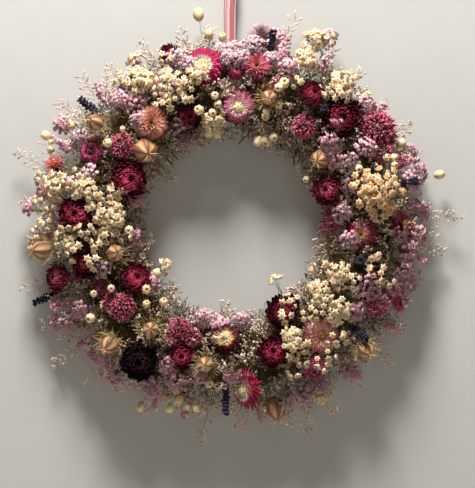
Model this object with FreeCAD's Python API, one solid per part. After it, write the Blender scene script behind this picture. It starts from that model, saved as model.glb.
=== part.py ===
"""Harvest door wreath of dried flowers.

Twelve mitred bunches of filler stems lie head over tail on the front of a flat two-ring wire frame and are bound
on with reel wire.  Everlasting flowers, seed pods and sprays are pushed into the bunches on their own stems.  A
loop of ribbon runs under the outer wire at twelve o'clock and is knotted below a small eye for a nail or hook.

Frame: +Z up, +X to the right of someone who faces the wreath, -Y towards them.  The origin is the middle of the
eye in the ribbon.  Places on the wreath are given as a clock angle (degrees clockwise from twelve o'clock), a
distance from the ring's centre and a depth in front of the wire frame.  All lengths are millimetres.
"""

import FreeCAD
import Part

import math
import os

from FreeCAD import Rotation, Vector

# Driving dimensions ------------------------------------------------------------------------------------------
outer_ring_diameter = 305.0  # over the middle of the wire, a 12 inch wreath frame
inner_ring_diameter = 250.0
frame_wire = 3.0  # across the corners of the ring wire
ring_facets = 60
crimp_wire = 2.0
crimp_count = 24
reel_wire = 1.0
running_gap = 0.2  # between pieces that lie on each other

bunch_count = 12
bunch_width = 68.0  # radially, at the full head of a bunch
bunch_depth = 28.0
bunch_tail_share = 0.8  # size of the tied tail against the head
bunch_parting = 7.0  # degrees left open at twelve o'clock for the ribbon
wraps_per_bunch = 1
wrap_pitch = 4.0

ribbon_width = 10.0
ribbon_thickness = 0.6
ribbon_clearance = 0.4  # between the ribbon and the wire that it runs under
strand_length = 92.0  # from the outer wire up to the middle of the knot
back_strand_lean = 2.0  # degrees to the left
knot_radius = 5.5
knot_depth = 9.0
eye_radius = 5.0
eye_to_knot = 13.0
knot_clearance = 0.3

bloom_depth = 46.0  # how far the flower heads stand in front of the frame at the middle of the garland
bloom_half_width = 54.0
bloom_lean = 0.55  # how much heads near the rims turn away from the middle
head_sink = 8.0  # the back of a head lies this far under the rounded face
head_spin = 5.0  # degrees that a head is turned about its own stem for each degree of the clock
spray_slant = 3.0  # degrees from where a spray is tied in to its tip
stem_radius = 1.1
stem_clearance = 3.0  # degrees, least distance of a stem from the open end of a bunch

ring_radius = outer_ring_diameter / 2
garland_radius = (outer_ring_diameter + inner_ring_diameter) / 4
ring_drop = eye_to_knot + strand_length + ring_radius
ring_centre = Vector(0, 0, -ring_drop)
frame_half_depth = frame_wire / 2 * math.cos(math.pi / 6)
frame_half_width = (outer_ring_diameter - inner_ring_diameter) / 4 + frame_wire / 2


# Places and directions ---------------------------------------------------------------------------------------
def place(clock, radius, depth):
    """The point at a clock angle, a distance from the ring's centre and a depth in front of the frame."""
    turn = math.radians(clock)
    return ring_centre + Vector(radius * math.sin(turn), -depth, radius * math.cos(turn))


def outward(clock):
    """The unit vector that points away from the ring's centre at a clock angle."""
    return Vector(math.sin(math.radians(clock)), 0, math.cos(math.radians(clock)))


def bloom_surface(offset):
    """Depth of the rounded face of the garland at a distance from its middle."""
    across = min(0.96, abs(offset) / bloom_half_width)
    return bloom_depth * math.sqrt(1 - across**2)


def facing(clock, offset, turned_off):
    """The way a head looks: to the front, leaning off the middle of the garland, and turned further if asked."""
    lean = math.degrees(bloom_lean * offset / bloom_half_width) + turned_off
    around = Vector(0, 1, 0).cross(outward(clock))
    return Rotation(around, -lean).multVec(Vector(0, -1, 0))


def aimed(shape, point, direction, spin=0.0):
    """Puts a shape that is built along +Z at a point, looking along a direction."""
    turn = Rotation(Vector(0, 0, 1), direction).multiply(Rotation(Vector(0, 0, 1), spin))
    moved = shape.copy()
    moved.Placement = FreeCAD.Placement(point, turn)
    return moved


# Faceted solids ----------------------------------------------------------------------------------------------
def star(points, radius, valley, height, phase=0.0):
    """Corners of a star: tips at the radius, valleys at a share of it.  A valley of 1 gives a plain polygon."""
    corners = []
    for k in range(2 * points if valley < 1 else points):
        reach = radius * (valley if valley < 1 and k % 2 else 1.0)
        turn = math.radians(phase) + (math.pi * k / points if valley < 1 else 2 * math.pi * k / points)
        corners.append(Vector(reach * math.cos(turn), reach * math.sin(turn), height))
    return corners


def flat_faces(a, b, c, d):
    """One flat face through four corners, or two triangles where they don't lie in a plane."""
    normal = (b - a).cross(c - a)
    if normal.Length < 1e-9 or abs((d - a).dot(normal)) / normal.Length < 1e-6:
        return [Part.Face(Part.makePolygon([a, b, c, d, a]))]
    return [Part.Face(Part.makePolygon(list(t) + [t[0]])) for t in ((a, b, c), (a, c, d))]


def closed(faces):
    """The solid inside a full set of faces."""
    solid = Part.Solid(Part.Shell(faces))
    return solid if solid.Volume > 0 else solid.reversed()


def stacked(rings):
    """A solid with flat facets through rings of corners, closed by the first and last ring."""
    faces = [Part.Face(Part.makePolygon(ring + [ring[0]])) for ring in (rings[0], rings[-1])]
    for low, high in zip(rings, rings[1:]):
        for k in range(len(low)):
            n = (k + 1) % len(low)
            faces += flat_faces(low[k], low[n], high[n], high[k])
    return closed(faces)


def turned(profile, sides, phase=0.0):
    """A faceted turning: the profile is (radius, height) pairs from the bottom up."""
    return stacked([star(sides, radius, 1, height, phase) for radius, height in profile])


def stem(start, end, radius=stem_radius):
    """A square stem between two points."""
    along = end - start
    return aimed(turned([(radius, 0), (radius, along.Length)], 4), start, along)


def outline(corners):
    """A flat face with straight sides."""
    return Part.Face(Part.makePolygon(corners + [corners[0]]))


def fused(shapes):
    return shapes[0].multiFuse(shapes[1:]).removeSplitter()


def largest(shape):
    return max(shape.Solids, key=lambda solid: solid.Volume)


def clear_of(shape, others):
    """What is left of a shape outside the solids that it reaches into."""
    for other in others:
        if shape.BoundBox.intersect(other.BoundBox):
            shape = largest(shape.cut(other))
    return shape


# Frame, bunches and binding ----------------------------------------------------------------------------------
def frame_ring(diameter):
    """A ring of drawn wire, six-sided in section with one flat to the door, bent in short straight steps."""
    section = star(6, frame_wire / 2, 1, 0)
    hoops = []
    for corner in section:
        radius = diameter / 2 + corner.x
        hoops.append([place(360 / ring_facets * k, radius, corner.y) for k in range(ring_facets)])
    faces = []
    for near, far in zip(hoops, hoops[1:] + hoops[:1]):
        for k in range(ring_facets):
            n = (k + 1) % ring_facets
            faces += flat_faces(near[k], near[n], far[n], far[k])
    return closed(faces)


def crimped_wire():
    """The zigzag wire that holds the two rings apart, its bends stopping just short of both."""
    pitch = 2 * math.pi / crimp_count
    rise = (outer_ring_diameter - inner_ring_diameter) / 2
    corner = crimp_wire / 2 / math.sin(math.atan2(pitch / 2 * garland_radius, rise))
    reach = frame_wire / 2 + running_gap + corner
    peaks = (inner_ring_diameter / 2 + reach, outer_ring_diameter / 2 - reach)
    corners = [
        Vector(peaks[k % 2] * math.sin(pitch / 2 * k), -crimp_wire / 2, peaks[k % 2] * math.cos(pitch / 2 * k))
        for k in range(2 * crimp_count)
    ]
    middle = Part.makePolygon(corners + [corners[0]])
    edges = [middle.makeOffset2D(side * crimp_wire / 2, 2) for side in (1, -1)]
    inner, outer = sorted(edges, key=lambda wire: wire.BoundBox.XLength)
    zigzag = Part.Face(outer).cut(Part.Face(inner)).extrude(Vector(0, crimp_wire, 0))
    zigzag.translate(ring_centre)
    return zigzag.Solids[0]


def bunch_section(size, margin=0.0):
    """Half-round section of a bunch as (radial offset, depth) corners, flat on the frame."""
    half, deep = bunch_width / 2 * size + margin, bunch_depth * size + margin
    shape = [(-0.88, 0.0), (0.88, 0.0), (1.0, 0.3), (0.84, 0.74), (0.42, 1.0), (-0.42, 1.0), (-0.84, 0.74), (-1.0, 0.3)]
    return [(half * across, frame_half_depth + running_gap + deep * up) for across, up in shape]


bunch_span = (360 - bunch_parting) / bunch_count
half_chord = garland_radius * math.sin(math.radians(bunch_span / 2))


def bunch_corners(number, reach, margin=0.0):
    """Corners of a bunch's section at a distance along its axis, counted from its middle towards its head."""
    middle = bunch_parting / 2 + bunch_span * (number + 0.5)
    size = bunch_tail_share + (1 - bunch_tail_share) * (reach + half_chord) / (2 * half_chord)
    away = outward(middle)
    centre = place(middle, garland_radius * math.cos(math.radians(bunch_span / 2)), 0) + outward(middle + 90) * reach
    return [centre + away * across - Vector(0, depth, 0) for across, depth in bunch_section(size, margin)]


def wedge(number):
    """The sector of space that belongs to a bunch, for mitring it against its neighbours."""
    start = bunch_parting / 2 + bunch_span * number
    reach = garland_radius + bunch_width
    block = outline([Vector(0, 0, 0), outward(start) * reach, outward(start + bunch_span) * reach])
    block = block.extrude(Vector(0, -2 * bunch_depth, 0))
    block.translate(ring_centre)
    return block


def filler_bunch(number):
    """One straight bunch that widens from its tied tail to its head, mitred to its sector of the ring."""
    overrun = half_chord + bunch_width / 2 * math.tan(math.radians(bunch_span / 2))
    whole = stacked([bunch_corners(number, -overrun), bunch_corners(number, overrun)])
    return whole.common(wedge(number)).removeSplitter().Solids[0]


def wire_turn(number, reach):
    """One turn of reel wire square across a bunch and round the back of the frame."""
    faces = []
    for margin in (running_gap, running_gap + reel_wire):
        corners = bunch_corners(number, reach, margin)
        inner, outer = corners[:2]
        spare = max(0, frame_half_width + margin - inner.distanceToPoint(outer) / 2)
        behind = Vector(0, frame_half_depth + margin - inner.y, 0)
        stretch = (outer - inner).normalize() * spare
        faces.append(outline([inner - stretch + behind, outer + stretch + behind] + corners[2:]))
    along = outward(bunch_parting / 2 + bunch_span * (number + 0.5) + 90) * reel_wire
    turn = faces[1].cut(faces[0]).extrude(along)
    turn.translate(along * -0.5)
    return turn


def wire_turns():
    """The turns that hold each bunch down, just ahead of where the bunch before it covers its tail."""
    first = -(garland_radius - bunch_width / 2) * math.tan(math.radians(bunch_span / 2)) + wrap_pitch / 2
    reaches = [first + wrap_pitch * k for k in range(wraps_per_bunch)]
    return [wire_turn(number, reach) for number in range(bunch_count) for reach in reaches]


def binding_wire(turns):
    """The reel wire in one length: its turns, joined by straight runs along the back of the frame."""
    middles = []
    for turn in turns:
        middle = turn.BoundBox.Center
        middles.append(Vector(middle.x, frame_half_depth + running_gap + reel_wire / 2, middle.z))
    runs = [stem(start, end, reel_wire / 2) for start, end in zip(middles, middles[1:])]
    return fused(turns + runs).Solids[0]


# Ribbon ------------------------------------------------------------------------------------------------------
knot_centre = Vector(0, 0, -eye_to_knot)
ribbon_turn = frame_wire / 2 + ribbon_clearance


def ribbon_strands():
    """The loop of ribbon: up the front, under the outer wire and up the back, both strands ending at the knot."""
    reach = ribbon_turn + ribbon_thickness
    left, right = Vector(-ribbon_width / 2, 0, 0), Vector(1, 0, 0)
    turn = Part.makeCylinder(reach, ribbon_width, left, right).cut(Part.makeCylinder(ribbon_turn, ribbon_width, left, right))
    pieces = [turn.common(Part.makeBox(ribbon_width, 2 * reach, reach, left - Vector(0, reach, reach)))]
    shift = strand_length * math.tan(math.radians(back_strand_lean))
    for side, lean in ((-1, 0), (1, shift)):
        rings = []
        for near, height, aside in ((ribbon_turn, 0, 0), (ribbon_thickness / 4, strand_length, lean)):
            depths = (side * near, side * (near + ribbon_thickness))
            ring = [Vector(x - aside, depths[0], height) for x in (-ribbon_width / 2, ribbon_width / 2)]
            ring += [Vector(x - aside, depths[1], height) for x in (ribbon_width / 2, -ribbon_width / 2)]
            rings.append(ring)
        pieces.append(stacked(rings))
    loop = fused(pieces)
    loop.translate(place(0, ring_radius, 0))
    return largest(loop.cut(knot_room()).cut(above_knot()))


def above_knot():
    """Everything above the middle of the knot."""
    return Part.makeBox(4 * knot_radius, 4 * knot_radius, 4 * knot_radius, knot_centre - Vector(2, 2, 0) * knot_radius)


def knot_room():
    """The round space that the knot turns in."""
    radius = knot_radius + knot_clearance
    return Part.makeCylinder(radius, 2 * knot_depth, knot_centre - Vector(0, knot_depth, 0), Vector(0, 1, 0))


def ribbon_knot():
    """The pulled-tight knot, round about the axis that the wreath swings on."""
    half, edge = knot_depth / 2, knot_radius * 0.78
    profile = [(edge, -half), (knot_radius, -half * 0.5), (knot_radius, half * 0.5), (edge, half)]
    return aimed(turned(profile, 16), knot_centre, Vector(0, 1, 0))


def ribbon_eye():
    """The small loop above the knot, open from front to back for a nail or hook, gathered where it enters the knot."""
    half = ribbon_width / 2
    ring = Part.makeCylinder(eye_radius + ribbon_thickness, ribbon_width, Vector(0, -half, 0), Vector(0, 1, 0))
    neck_width = 2 * ribbon_thickness + 1.0
    neck = Part.makeBox(neck_width, ribbon_width, eye_to_knot, Vector(-neck_width / 2, -half, -eye_to_knot))
    eye = ring.fuse(neck).cut(knot_room())
    return eye.cut(Part.makeCylinder(eye_radius, 2 * ribbon_width, Vector(0, -ribbon_width, 0), Vector(0, 1, 0))).Solids[0]


# Flower heads, pods and sprays, each built along +Z with its back at the origin -------------------------------
def open_strawflower(diameter):
    """A flat everlasting: a ring of pointed bracts round a raised disc, on a tapered cup."""
    radius, points = diameter / 2, 9
    bracts = stacked(
        [
            star(points, radius * 0.34, 0.9, 0),
            star(points, radius, 0.86, radius * 0.42),
            star(points, radius * 0.52, 0.9, radius * 0.5),
        ]
    )
    disc = turned([(radius * 0.46, radius * 0.4), (radius * 0.46, radius * 0.56), (radius * 0.26, radius * 0.7)], 8)
    return fused([bracts, disc])


def ball_strawflower(diameter):
    """A half-closed everlasting: its bracts curve up and in over the disc."""
    radius, points = diameter / 2, 7
    return stacked(
        [
            star(points, radius * 0.36, 0.9, 0),
            star(points, radius * 0.96, 0.88, radius * 0.4),
            star(points, radius, 0.88, radius * 0.72),
            star(points, radius * 0.56, 0.8, radius * 1.24),
        ]
    )


def tufted_head(diameter):
    """A tuft of narrow florets, as wide as it is deep."""
    radius = diameter / 2
    return turned(
        [(radius * 0.4, 0), (radius * 0.95, radius * 0.45), (radius, radius * 0.8), (radius * 0.55, radius * 1.3)], 8
    )


def seed_pod(diameter):
    """A ribbed, inflated seed pod with its five dried styles standing on top."""
    radius = diameter / 2
    shares = [(0.3, 0.0), (0.95, 0.7), (0.9, 1.5), (0.36, 2.05)]
    body = stacked([star(5, radius * across, 0.9, radius * up) for across, up in shares])
    style = turned([(radius * 0.12, 0), (radius * 0.03, radius * 0.75)], 3)
    styles = []
    for k in range(5):
        turn = Rotation(Vector(0, 0, 1), 72 * k)
        foot = turn.multVec(Vector(radius * 0.2, 0, radius * 1.98))
        styles.append(aimed(style, foot, turn.multVec(Vector(0.5, 0, 1))))
    return fused([body] + styles)


def lavender_spike(length):
    """A spike of flower whorls, thickest at a third of its height."""
    whorls, sides = 4, 5
    step = length / whorls
    rings = [star(sides, 0.8, 1, 0)]
    for k in range(whorls):
        wide = step * (0.75 if k else 0.6) * (1 - 0.12 * k)
        rings.append(star(sides, wide, 1, step * (k + 0.5)))
        rings.append(star(sides, wide * 0.6, 1, step * (k + 1)))
    return stacked(rings)


def umbel(diameter):
    """A flat-topped cluster of small everlastings."""
    radius = diameter / 2
    return turned([(radius * 0.25, 0), (radius, radius * 0.6), (radius * 0.6, radius)], 7)


def bud(diameter):
    """A closed bud, a little taller than it is wide."""
    radius = diameter / 2
    return turned([(radius * 0.4, 0), (radius, radius * 1.1), (radius * 0.45, radius * 2.2)], 6)


def spray(length, width):
    """A slender branching spray, drawn as its outline."""
    return turned([(stem_radius, 0), (width / 2, length * 0.45), (width / 3, length * 0.8), (0.5, length)], 4)


# Where each of them sits: (clock, millimetres out from the middle of the garland, size, turn off its natural
# facing, extra lift), with a strawflower's form before its turn ------------------------------------------------
open_head, ball_head = open_strawflower, ball_strawflower
strawflowers = [
    (1, 14, 17, ball_head, 0, 0),
    (3, -18, 32, open_head, 0, 0),
    (9, 23, 19, open_head, 0, 8),
    (9, 51, 24, ball_head, 0, 2),
    (31, 9, 27, ball_head, 20, 0),
    (45, 16, 33, open_head, 0, 2),
    (70, -34, 27, ball_head, 0, 0),
    (90, 30, 26, open_head, 30, 0),
    (94, -10, 36, open_head, 0, 0),
    (110, 8, 18, ball_head, 25, -2),
    (114, 47, 21, open_head, 0, 0),
    (141, 3, 34, open_head, 0, 4),
    (149, -36, 31, ball_head, 0, 0),
    (162, -5, 27, ball_head, 0, 0),
    (174, 24, 32, open_head, 10, 2),
    (184, -25, 36, open_head, 0, 0),
    (201, 2, 26, ball_head, 0, 0),
    (214, 24, 35, ball_head, 0, 0),
    (241, -24, 30, ball_head, 0, 0),
    (255, 11, 28, ball_head, 0, 0),
    (253, 40, 27, open_head, 30, 0),
    (274, 16, 31, ball_head, 0, 0),
    (289, 45, 19, ball_head, 20, 0),
    (293, -22, 34, ball_head, 0, 0),
    (298, 21, 20, open_head, 0, 0),
    (322, -7, 34, ball_head, 0, 0),
    (339, -19, 20, ball_head, 0, 0),
    (340, 43, 19, ball_head, 15, -6),
    (350, 23, 38, open_head, 0, 3),
]
tufted_heads = [
    (12, 4, 18, 0, -14),
    (36, -15, 24, 0, 0),
    (56, 37, 30, 0, 0),
    (85, -35, 20, 0, -4),
    (119, 26, 22, 0, 0),
    (150, 27, 20, 0, 0),
    (207, -22, 22, 0, 0),
    (234, -2, 26, 0, 0),
    (306, -2, 24, 0, 0),
]
seed_pods = [
    (16, -5, 18, 0, 0),
    (53, -27, 14, 0, 0),
    (133, 33, 19, 30, 0),
    (167, 47, 15, 20, -4),
    (191, 2, 19, 0, 2),
    (218, -7, 19, 0, 4),
    (226, 21, 21, 30, 0),
    (257, -17, 20, 0, 0),
    (263, 44, 20, 20, 0),
    (307, 23, 18, 30, 4),
    (311, -23, 18, 0, 0),
]
lavender_spikes = [
    (12, 39, 24, 60, 0),
    (38, 1, 16, 40, 0),
    (76, 37, 16, 50, 0),
    (105, -11, 16, 30, 0),
    (130, 13, 26, 60, 0),
    (182, 26, 24, 60, 0),
    (249, 51, 27, 80, 0),
    (310, 31, 30, 75, 0),
]
umbels = [
    (24, 61, 20, 10, 0),
    (24, 39, 20, 0, 0),
    (37, 39, 20, 0, 0),
    (77, 8, 40, 0, 4),
    (114, -20, 20, 0, 4),
    (127, -28, 18, 0, 2),
    (129, -3, 20, 0, 4),
    (152, -11, 15, 0, 8),
    (152, 51, 14, 0, 0),
    (265, 27, 18, 0, 2),
    (273, -15, 28, 0, 3),
    (284, 11, 24, 0, 4),
    (282, 39, 24, 0, 2),
    (328, 29, 26, 0, 0),
    (337, 13, 26, 0, 2),
    (350, -29, 22, 0, 0),
]
buds = [
    (20, 13, 12, 0, 2),
    (21, -8, 10, 0, 0),
    (17, -22, 9, 0, 0),
    (22, -43, 10, 0, 0),
    (64, 48, 10, 20, 0),
    (66, 29, 9, 0, 2),
    (76, 73, 9, 20, 0),
    (102, 9, 9, 0, 0),
    (197, 39, 10, 30, 0),
    (207, 61, 9, 60, 0),
    (199, 51, 9, 60, 0),
    (238, -47, 9, 0, 0),
    (237, 29, 10, 0, 6),
    (302, 51, 10, 20, 0),
    (296, 66, 10, 20, 0),
    (351, 73, 11, 30, 0),
]
pink_spray_clocks = (16, 30, 52, 70, 84, 100, 122, 140, 157, 172, 194, 204, 221, 232, 245, 268, 280, 296, 316, 330)
pink_sprays = [(clock, 57, 11) for clock in pink_spray_clocks]
sea_lavender_sprays = [
    (17, 82, 8), (30, 67, 8), (40, 65, 8), (52, 58, 8), (61, 67, 8), (69, 61, 8), (88, 91, 8), (97, 75, 8),
    (106, 57, 8), (121, 61, 8), (131, 72, 8), (142, 63, 8), (160, 87, 8), (165, 64, 8), (178, 65, 8),
    (189, 80, 8), (205, 67, 8), (216, 65, 8), (224, 73, 8), (233, 87, 8), (243, 75, 8), (254, 81, 8),
    (266, 67, 8), (277, 75, 8), (289, 93, 8), (306, 75, 8), (315, 77, 8), (323, 65, 8), (334, 67, 8), (346, 65, 8),
    (354, 61, 8), (25, -51, 7), (60, -49, 7), (102, -51, 7), (138, -51, 7), (185, -59, 7), (225, -53, 7), (262, -53, 7),
    (308, -61, 7), (338, -51, 7),
]


def seated(head, clock, offset, turned_off, lift, base):
    """A head on its own stem, which ends on the face of the bunch that it is pushed into."""
    back = place(clock, garland_radius + offset, bloom_surface(offset) + lift - head_sink)
    direction = facing(clock, offset, turned_off)
    beside_ribbon = bunch_parting / 2 + stem_clearance
    root_clock = min(max(clock, beside_ribbon), 360 - beside_ribbon)
    root_offset = max(-0.3 * bunch_width, min(0.3 * bunch_width, 0.35 * offset))
    root = place(root_clock, garland_radius + root_offset, bunch_depth / 3)
    shape = fused([aimed(head, back, direction, head_spin * clock), stem(back + direction * 0.5, root)])
    return clear_of(shape, base)


def group(build, places, base):
    return [seated(build(size), c, offset, turned_off, lift, base) for c, offset, size, turned_off, lift in places]


def rim_spray(clock, tip_offset, width, base, depth):
    """A spray that comes out of the side of a bunch and reaches past its outer or inner rim."""
    side = 1 if tip_offset > 0 else -1
    start = place(clock - spray_slant, garland_radius + side * bunch_width / 4, depth)
    along = place(clock, garland_radius + tip_offset, depth + 3) - start
    return clear_of(aimed(spray(along.Length, width), start, along), base)


def main():
    os.makedirs("parts", exist_ok=True)
    turns = wire_turns()
    nodes = {
        "frame_outer_ring": [frame_ring(outer_ring_diameter)],
        "frame_inner_ring": [frame_ring(inner_ring_diameter)],
        "frame_crimped_wire": [crimped_wire()],
        "binding_wire": [binding_wire(turns)],
        "ribbon_strands": [ribbon_strands()],
        "ribbon_knot": [ribbon_knot()],
        "ribbon_eye": [ribbon_eye()],
    }
    bunches = [filler_bunch(number) for number in range(bunch_count)]
    for number, bunch in enumerate(bunches):
        nodes[f"filler_bunch_{number + 1:02d}"] = [bunch]
    base = bunches + turns
    for number, (clock, offset, size, form, turned_off, lift) in enumerate(strawflowers):
        head = seated(form(size), clock, offset, turned_off, lift, base)
        nodes[f"strawflower_{number + 1:02d}"] = [head]
    nodes["tufted_heads"] = group(tufted_head, tufted_heads, base)
    nodes["seed_pods"] = group(seed_pod, seed_pods, base)
    nodes["lavender_spikes"] = group(lavender_spike, lavender_spikes, base)
    nodes["everlasting_umbels"] = group(umbel, umbels, base)
    nodes["everlasting_buds"] = group(bud, buds, base)
    nodes["pink_statice_sprays"] = [rim_spray(c, tip, width, base, 14) for c, tip, width in pink_sprays]
    nodes["sea_lavender_sprays"] = [rim_spray(c, tip, width, base, 4) for c, tip, width in sea_lavender_sprays]
    for name, solids in nodes.items():
        shape = solids[0] if len(solids) == 1 else Part.makeCompound(solids)
        shape.exportStep(f"parts/{name}.step")


main()
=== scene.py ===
# %% [markdown]
# # A door wreath of dried flowers
# The wreath is a wire frame with small bunches of dried stems bound round it, and flower heads pushed in
# between them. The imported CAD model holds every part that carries, turns or fastens. This lesson keeps its
# wires as they are, and grows petals, florets, pods and ribbon in the places where its plain solids sit.

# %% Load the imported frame
from math import atan2, cos, degrees, hypot, pi, radians, sin, sqrt
import bmesh
import bpy
import numpy as np
from mathutils import Matrix, Vector


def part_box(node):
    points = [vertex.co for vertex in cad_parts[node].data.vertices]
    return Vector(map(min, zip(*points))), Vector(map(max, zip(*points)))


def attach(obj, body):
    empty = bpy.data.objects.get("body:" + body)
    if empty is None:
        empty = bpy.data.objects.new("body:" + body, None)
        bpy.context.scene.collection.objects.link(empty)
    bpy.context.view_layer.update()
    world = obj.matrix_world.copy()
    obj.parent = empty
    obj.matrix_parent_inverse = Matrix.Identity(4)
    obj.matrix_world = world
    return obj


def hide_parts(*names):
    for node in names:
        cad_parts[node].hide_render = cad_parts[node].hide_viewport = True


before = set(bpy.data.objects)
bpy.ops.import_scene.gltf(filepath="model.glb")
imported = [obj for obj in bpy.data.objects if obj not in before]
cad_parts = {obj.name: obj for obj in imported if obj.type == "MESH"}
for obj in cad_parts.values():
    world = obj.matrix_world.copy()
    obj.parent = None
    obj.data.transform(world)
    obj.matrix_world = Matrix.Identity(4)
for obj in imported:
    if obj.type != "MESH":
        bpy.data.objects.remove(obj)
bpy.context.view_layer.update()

MM = 0.001
GOLDEN_ANGLE = 2.39996

# %% [markdown]
# ## Clock angles and offsets
# A florist speaks of a wreath as a clock face, so every place here is a clock angle, a distance out from the
# middle of the garland, and a depth in front of the frame. Both rings of the frame give the circle that these
# are measured from. The face of the garland is rounded, and a head on it leans away from its middle.

# %% Find places on the garland
outer_ring, inner_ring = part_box("frame_outer_ring"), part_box("frame_inner_ring")
ring_middle = (outer_ring[0] + outer_ring[1]) / 2
wire_width = outer_ring[1].y - outer_ring[0].y
garland_radius = (outer_ring[1].x - outer_ring[0].x + inner_ring[1].x - inner_ring[0].x) / 4 - wire_width / 2
FACE_DEPTH, FACE_HALF_WIDTH, FACE_LEAN = 46, 54, 0.55
FORWARD = Vector((0, -1, 0))


def outward(clock):
    """The unit vector that points away from the middle of the wreath."""
    return Vector((sin(radians(clock)), 0, cos(radians(clock))))


def spot(clock, offset, depth):
    """The point at a clock angle, with its offset and depth in millimetres."""
    return ring_middle + outward(clock) * (garland_radius + offset * MM) + FORWARD * depth * MM


def face_at(offset):
    """Depth in millimetres of the rounded face of the garland."""
    return FACE_DEPTH * sqrt(max(0.08, 1 - (offset / FACE_HALF_WIDTH) ** 2))


def outlook(clock, offset, extra=0.0):
    """The way a head on the face of the garland looks, turned outward by some more degrees if asked."""
    lean = FACE_LEAN * offset / FACE_HALF_WIDTH + radians(extra)
    return (FORWARD * cos(lean) + outward(clock) * sin(lean)).normalized()


def reach_of(point):
    """How far a point is from the axis of the wreath."""
    return hypot(point[0] - ring_middle.x, point[2] - ring_middle.z)


def clock_of(point):
    """Clock angle and offset in millimetres of a point."""
    across = point - ring_middle
    reach = hypot(across.x, across.z)
    return degrees(atan2(across.x, across.z)) % 360, (reach - garland_radius) / MM


def around(axis, turn):
    """The unit vector square to an axis, turned about it by an angle."""
    side = axis.orthogonal().normalized()
    return side * cos(turn) + axis.cross(side) * sin(turn)


print("garland radius", round(garland_radius / MM, 1), "mm")

# %% [markdown]
# ## Reading the heads
# Each head in the CAD model is a plain faceted solid on a square stem. Its front corners lie evenly round its
# own axis, so their mean is on the axis, the highest is its top, and the widest is its radius. A head on a
# long stem looks the way that its stem grows.

# %% Measure the CAD heads
class Head:
    """Where one head sits: the way it looks, the middle of its front, its radius and its root."""

    def __init__(self, corners, by_stem):
        clock, offset = clock_of(Vector(corners.mean(0)))
        inward = [abs(clock_of(Vector(c))[1]) - 0.5 * c[1] / MM for c in corners]
        self.root = Vector(corners[int(np.argmin(inward))])
        self.axis = outlook(clock, offset)
        if by_stem:
            tip = max((Vector(c) for c in corners), key=lambda c: (c - self.root).length)
            self.axis = (tip - self.root).normalized()
        for _ in range(3):
            heights = corners @ np.array(self.axis)
            front = corners[heights > heights.max() - 10 * MM]
            middle = Vector(front.mean(0))
            if by_stem:
                self.axis = (middle - self.root).normalized()
        self.top = middle + self.axis * (heights.max() - middle.dot(self.axis))
        away = [Vector(c) - middle for c in front]
        self.radius = max((a - self.axis * a.dot(self.axis)).length for a in away)


def solids_of(node):
    """The corners of each separate solid of a CAD node, clockwise."""
    work = bmesh.new()
    work.from_mesh(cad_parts[node].data)
    bmesh.ops.remove_doubles(work, verts=work.verts, dist=0.001 * MM)
    unseen, found = set(work.verts), []
    while unseen:
        group, edge = [], [unseen.pop()]
        while edge:
            corner = edge.pop()
            group.append(tuple(corner.co))
            near = {e.other_vert(corner) for e in corner.link_edges} & unseen
            unseen -= near
            edge.extend(near)
        found.append(np.array(group))
    work.free()
    return sorted(found, key=lambda c: clock_of(Vector(c.mean(0)))[0])


def heads_in(node, by_stem=True):
    return [Head(corners, by_stem) for corners in solids_of(node)]


def ends_of(corners):
    """The corners of a spray that lie nearest to the axis of the wreath and farthest from it."""
    reach = [reach_of(c) for c in corners]
    return Vector(corners[int(np.argmin(reach))]), Vector(corners[int(np.argmax(reach))])


umbels, tufts = heads_in("everlasting_umbels", by_stem=False), heads_in("tufted_heads", by_stem=False)
buds, pods, spikes = heads_in("everlasting_buds"), heads_in("seed_pods"), heads_in("lavender_spikes")
for label, found in zip(("umbels", "tufts", "buds", "pods", "spikes"), (umbels, tufts, buds, pods, spikes)):
    print(len(found), label)

# %% [markdown]
# ## The camera
# The wreath hangs at eye level and is seen square on from two and a half metres, through a long lens, so the
# heads at its sides aren't stretched. The view is as wide as the garland with a little wall round it, and it
# ends just under the knot of the ribbon.

# %% Place the camera
bpy.context.scene.view_settings.view_transform = "Standard"
DISTANCE, VIEW_HEIGHT = 2.5, 0.488
camera = bpy.data.objects.new("camera", bpy.data.cameras.new("camera"))
bpy.context.scene.collection.objects.link(camera)
camera.location = ring_middle + Vector((5.5, 0, -18)) * MM + FORWARD * DISTANCE
camera.rotation_euler = (pi / 2, 0, 0)
camera.data.lens = camera.data.sensor_width * (DISTANCE - FACE_DEPTH * MM) / VIEW_HEIGHT
bpy.context.scene.camera = camera
print("lens", round(camera.data.lens), "mm")

# %% [markdown]
# ## Adding nodes
# Materials and Geometry Nodes are both trees of nodes. One small function adds a node of any kind, sets its
# choices, and gives each input a value or links it to another node. Colours are written as sRGB hex values,
# and Blender works in linear light, so one function turns them. A ramp is written as a text, with the
# percentage and the colour of each stop.

# %% Write the node helpers
def linear(colour):
    """A hex colour as linear red, green, blue and alpha."""
    parts = [int(colour[i : i + 2], 16) / 255 for i in (1, 3, 5)]
    return [p / 12.92 if p <= 0.04045 else ((p + 0.055) / 1.055) ** 2.4 for p in parts] + [1.0]


def add(tree, kind, inputs=None, **choices):
    """Adds a node. An input is a value or the socket that it is linked from."""
    made = tree.nodes.new(kind)
    for name, value in choices.items():
        setattr(made, name, value)
    for key, value in (inputs or {}).items():
        if isinstance(value, bpy.types.NodeSocket):
            tree.links.new(value, made.inputs[key])
        else:
            made.inputs[key].default_value = value
    return made


def put(tree, kind, inputs=None, **choices):
    """Adds a node and gives its first output."""
    return add(tree, kind, inputs, **choices).outputs[0]


def maths(tree, operation, *values):
    return put(tree, "ShaderNodeMath", dict(enumerate(values)), operation=operation)


def mapped(tree, value, start, end, low, high):
    """A value mapped from one range to another."""
    ranges = {"Value": value, "From Min": start, "From Max": end, "To Min": low, "To Max": high}
    return put(tree, "ShaderNodeMapRange", ranges)


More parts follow.
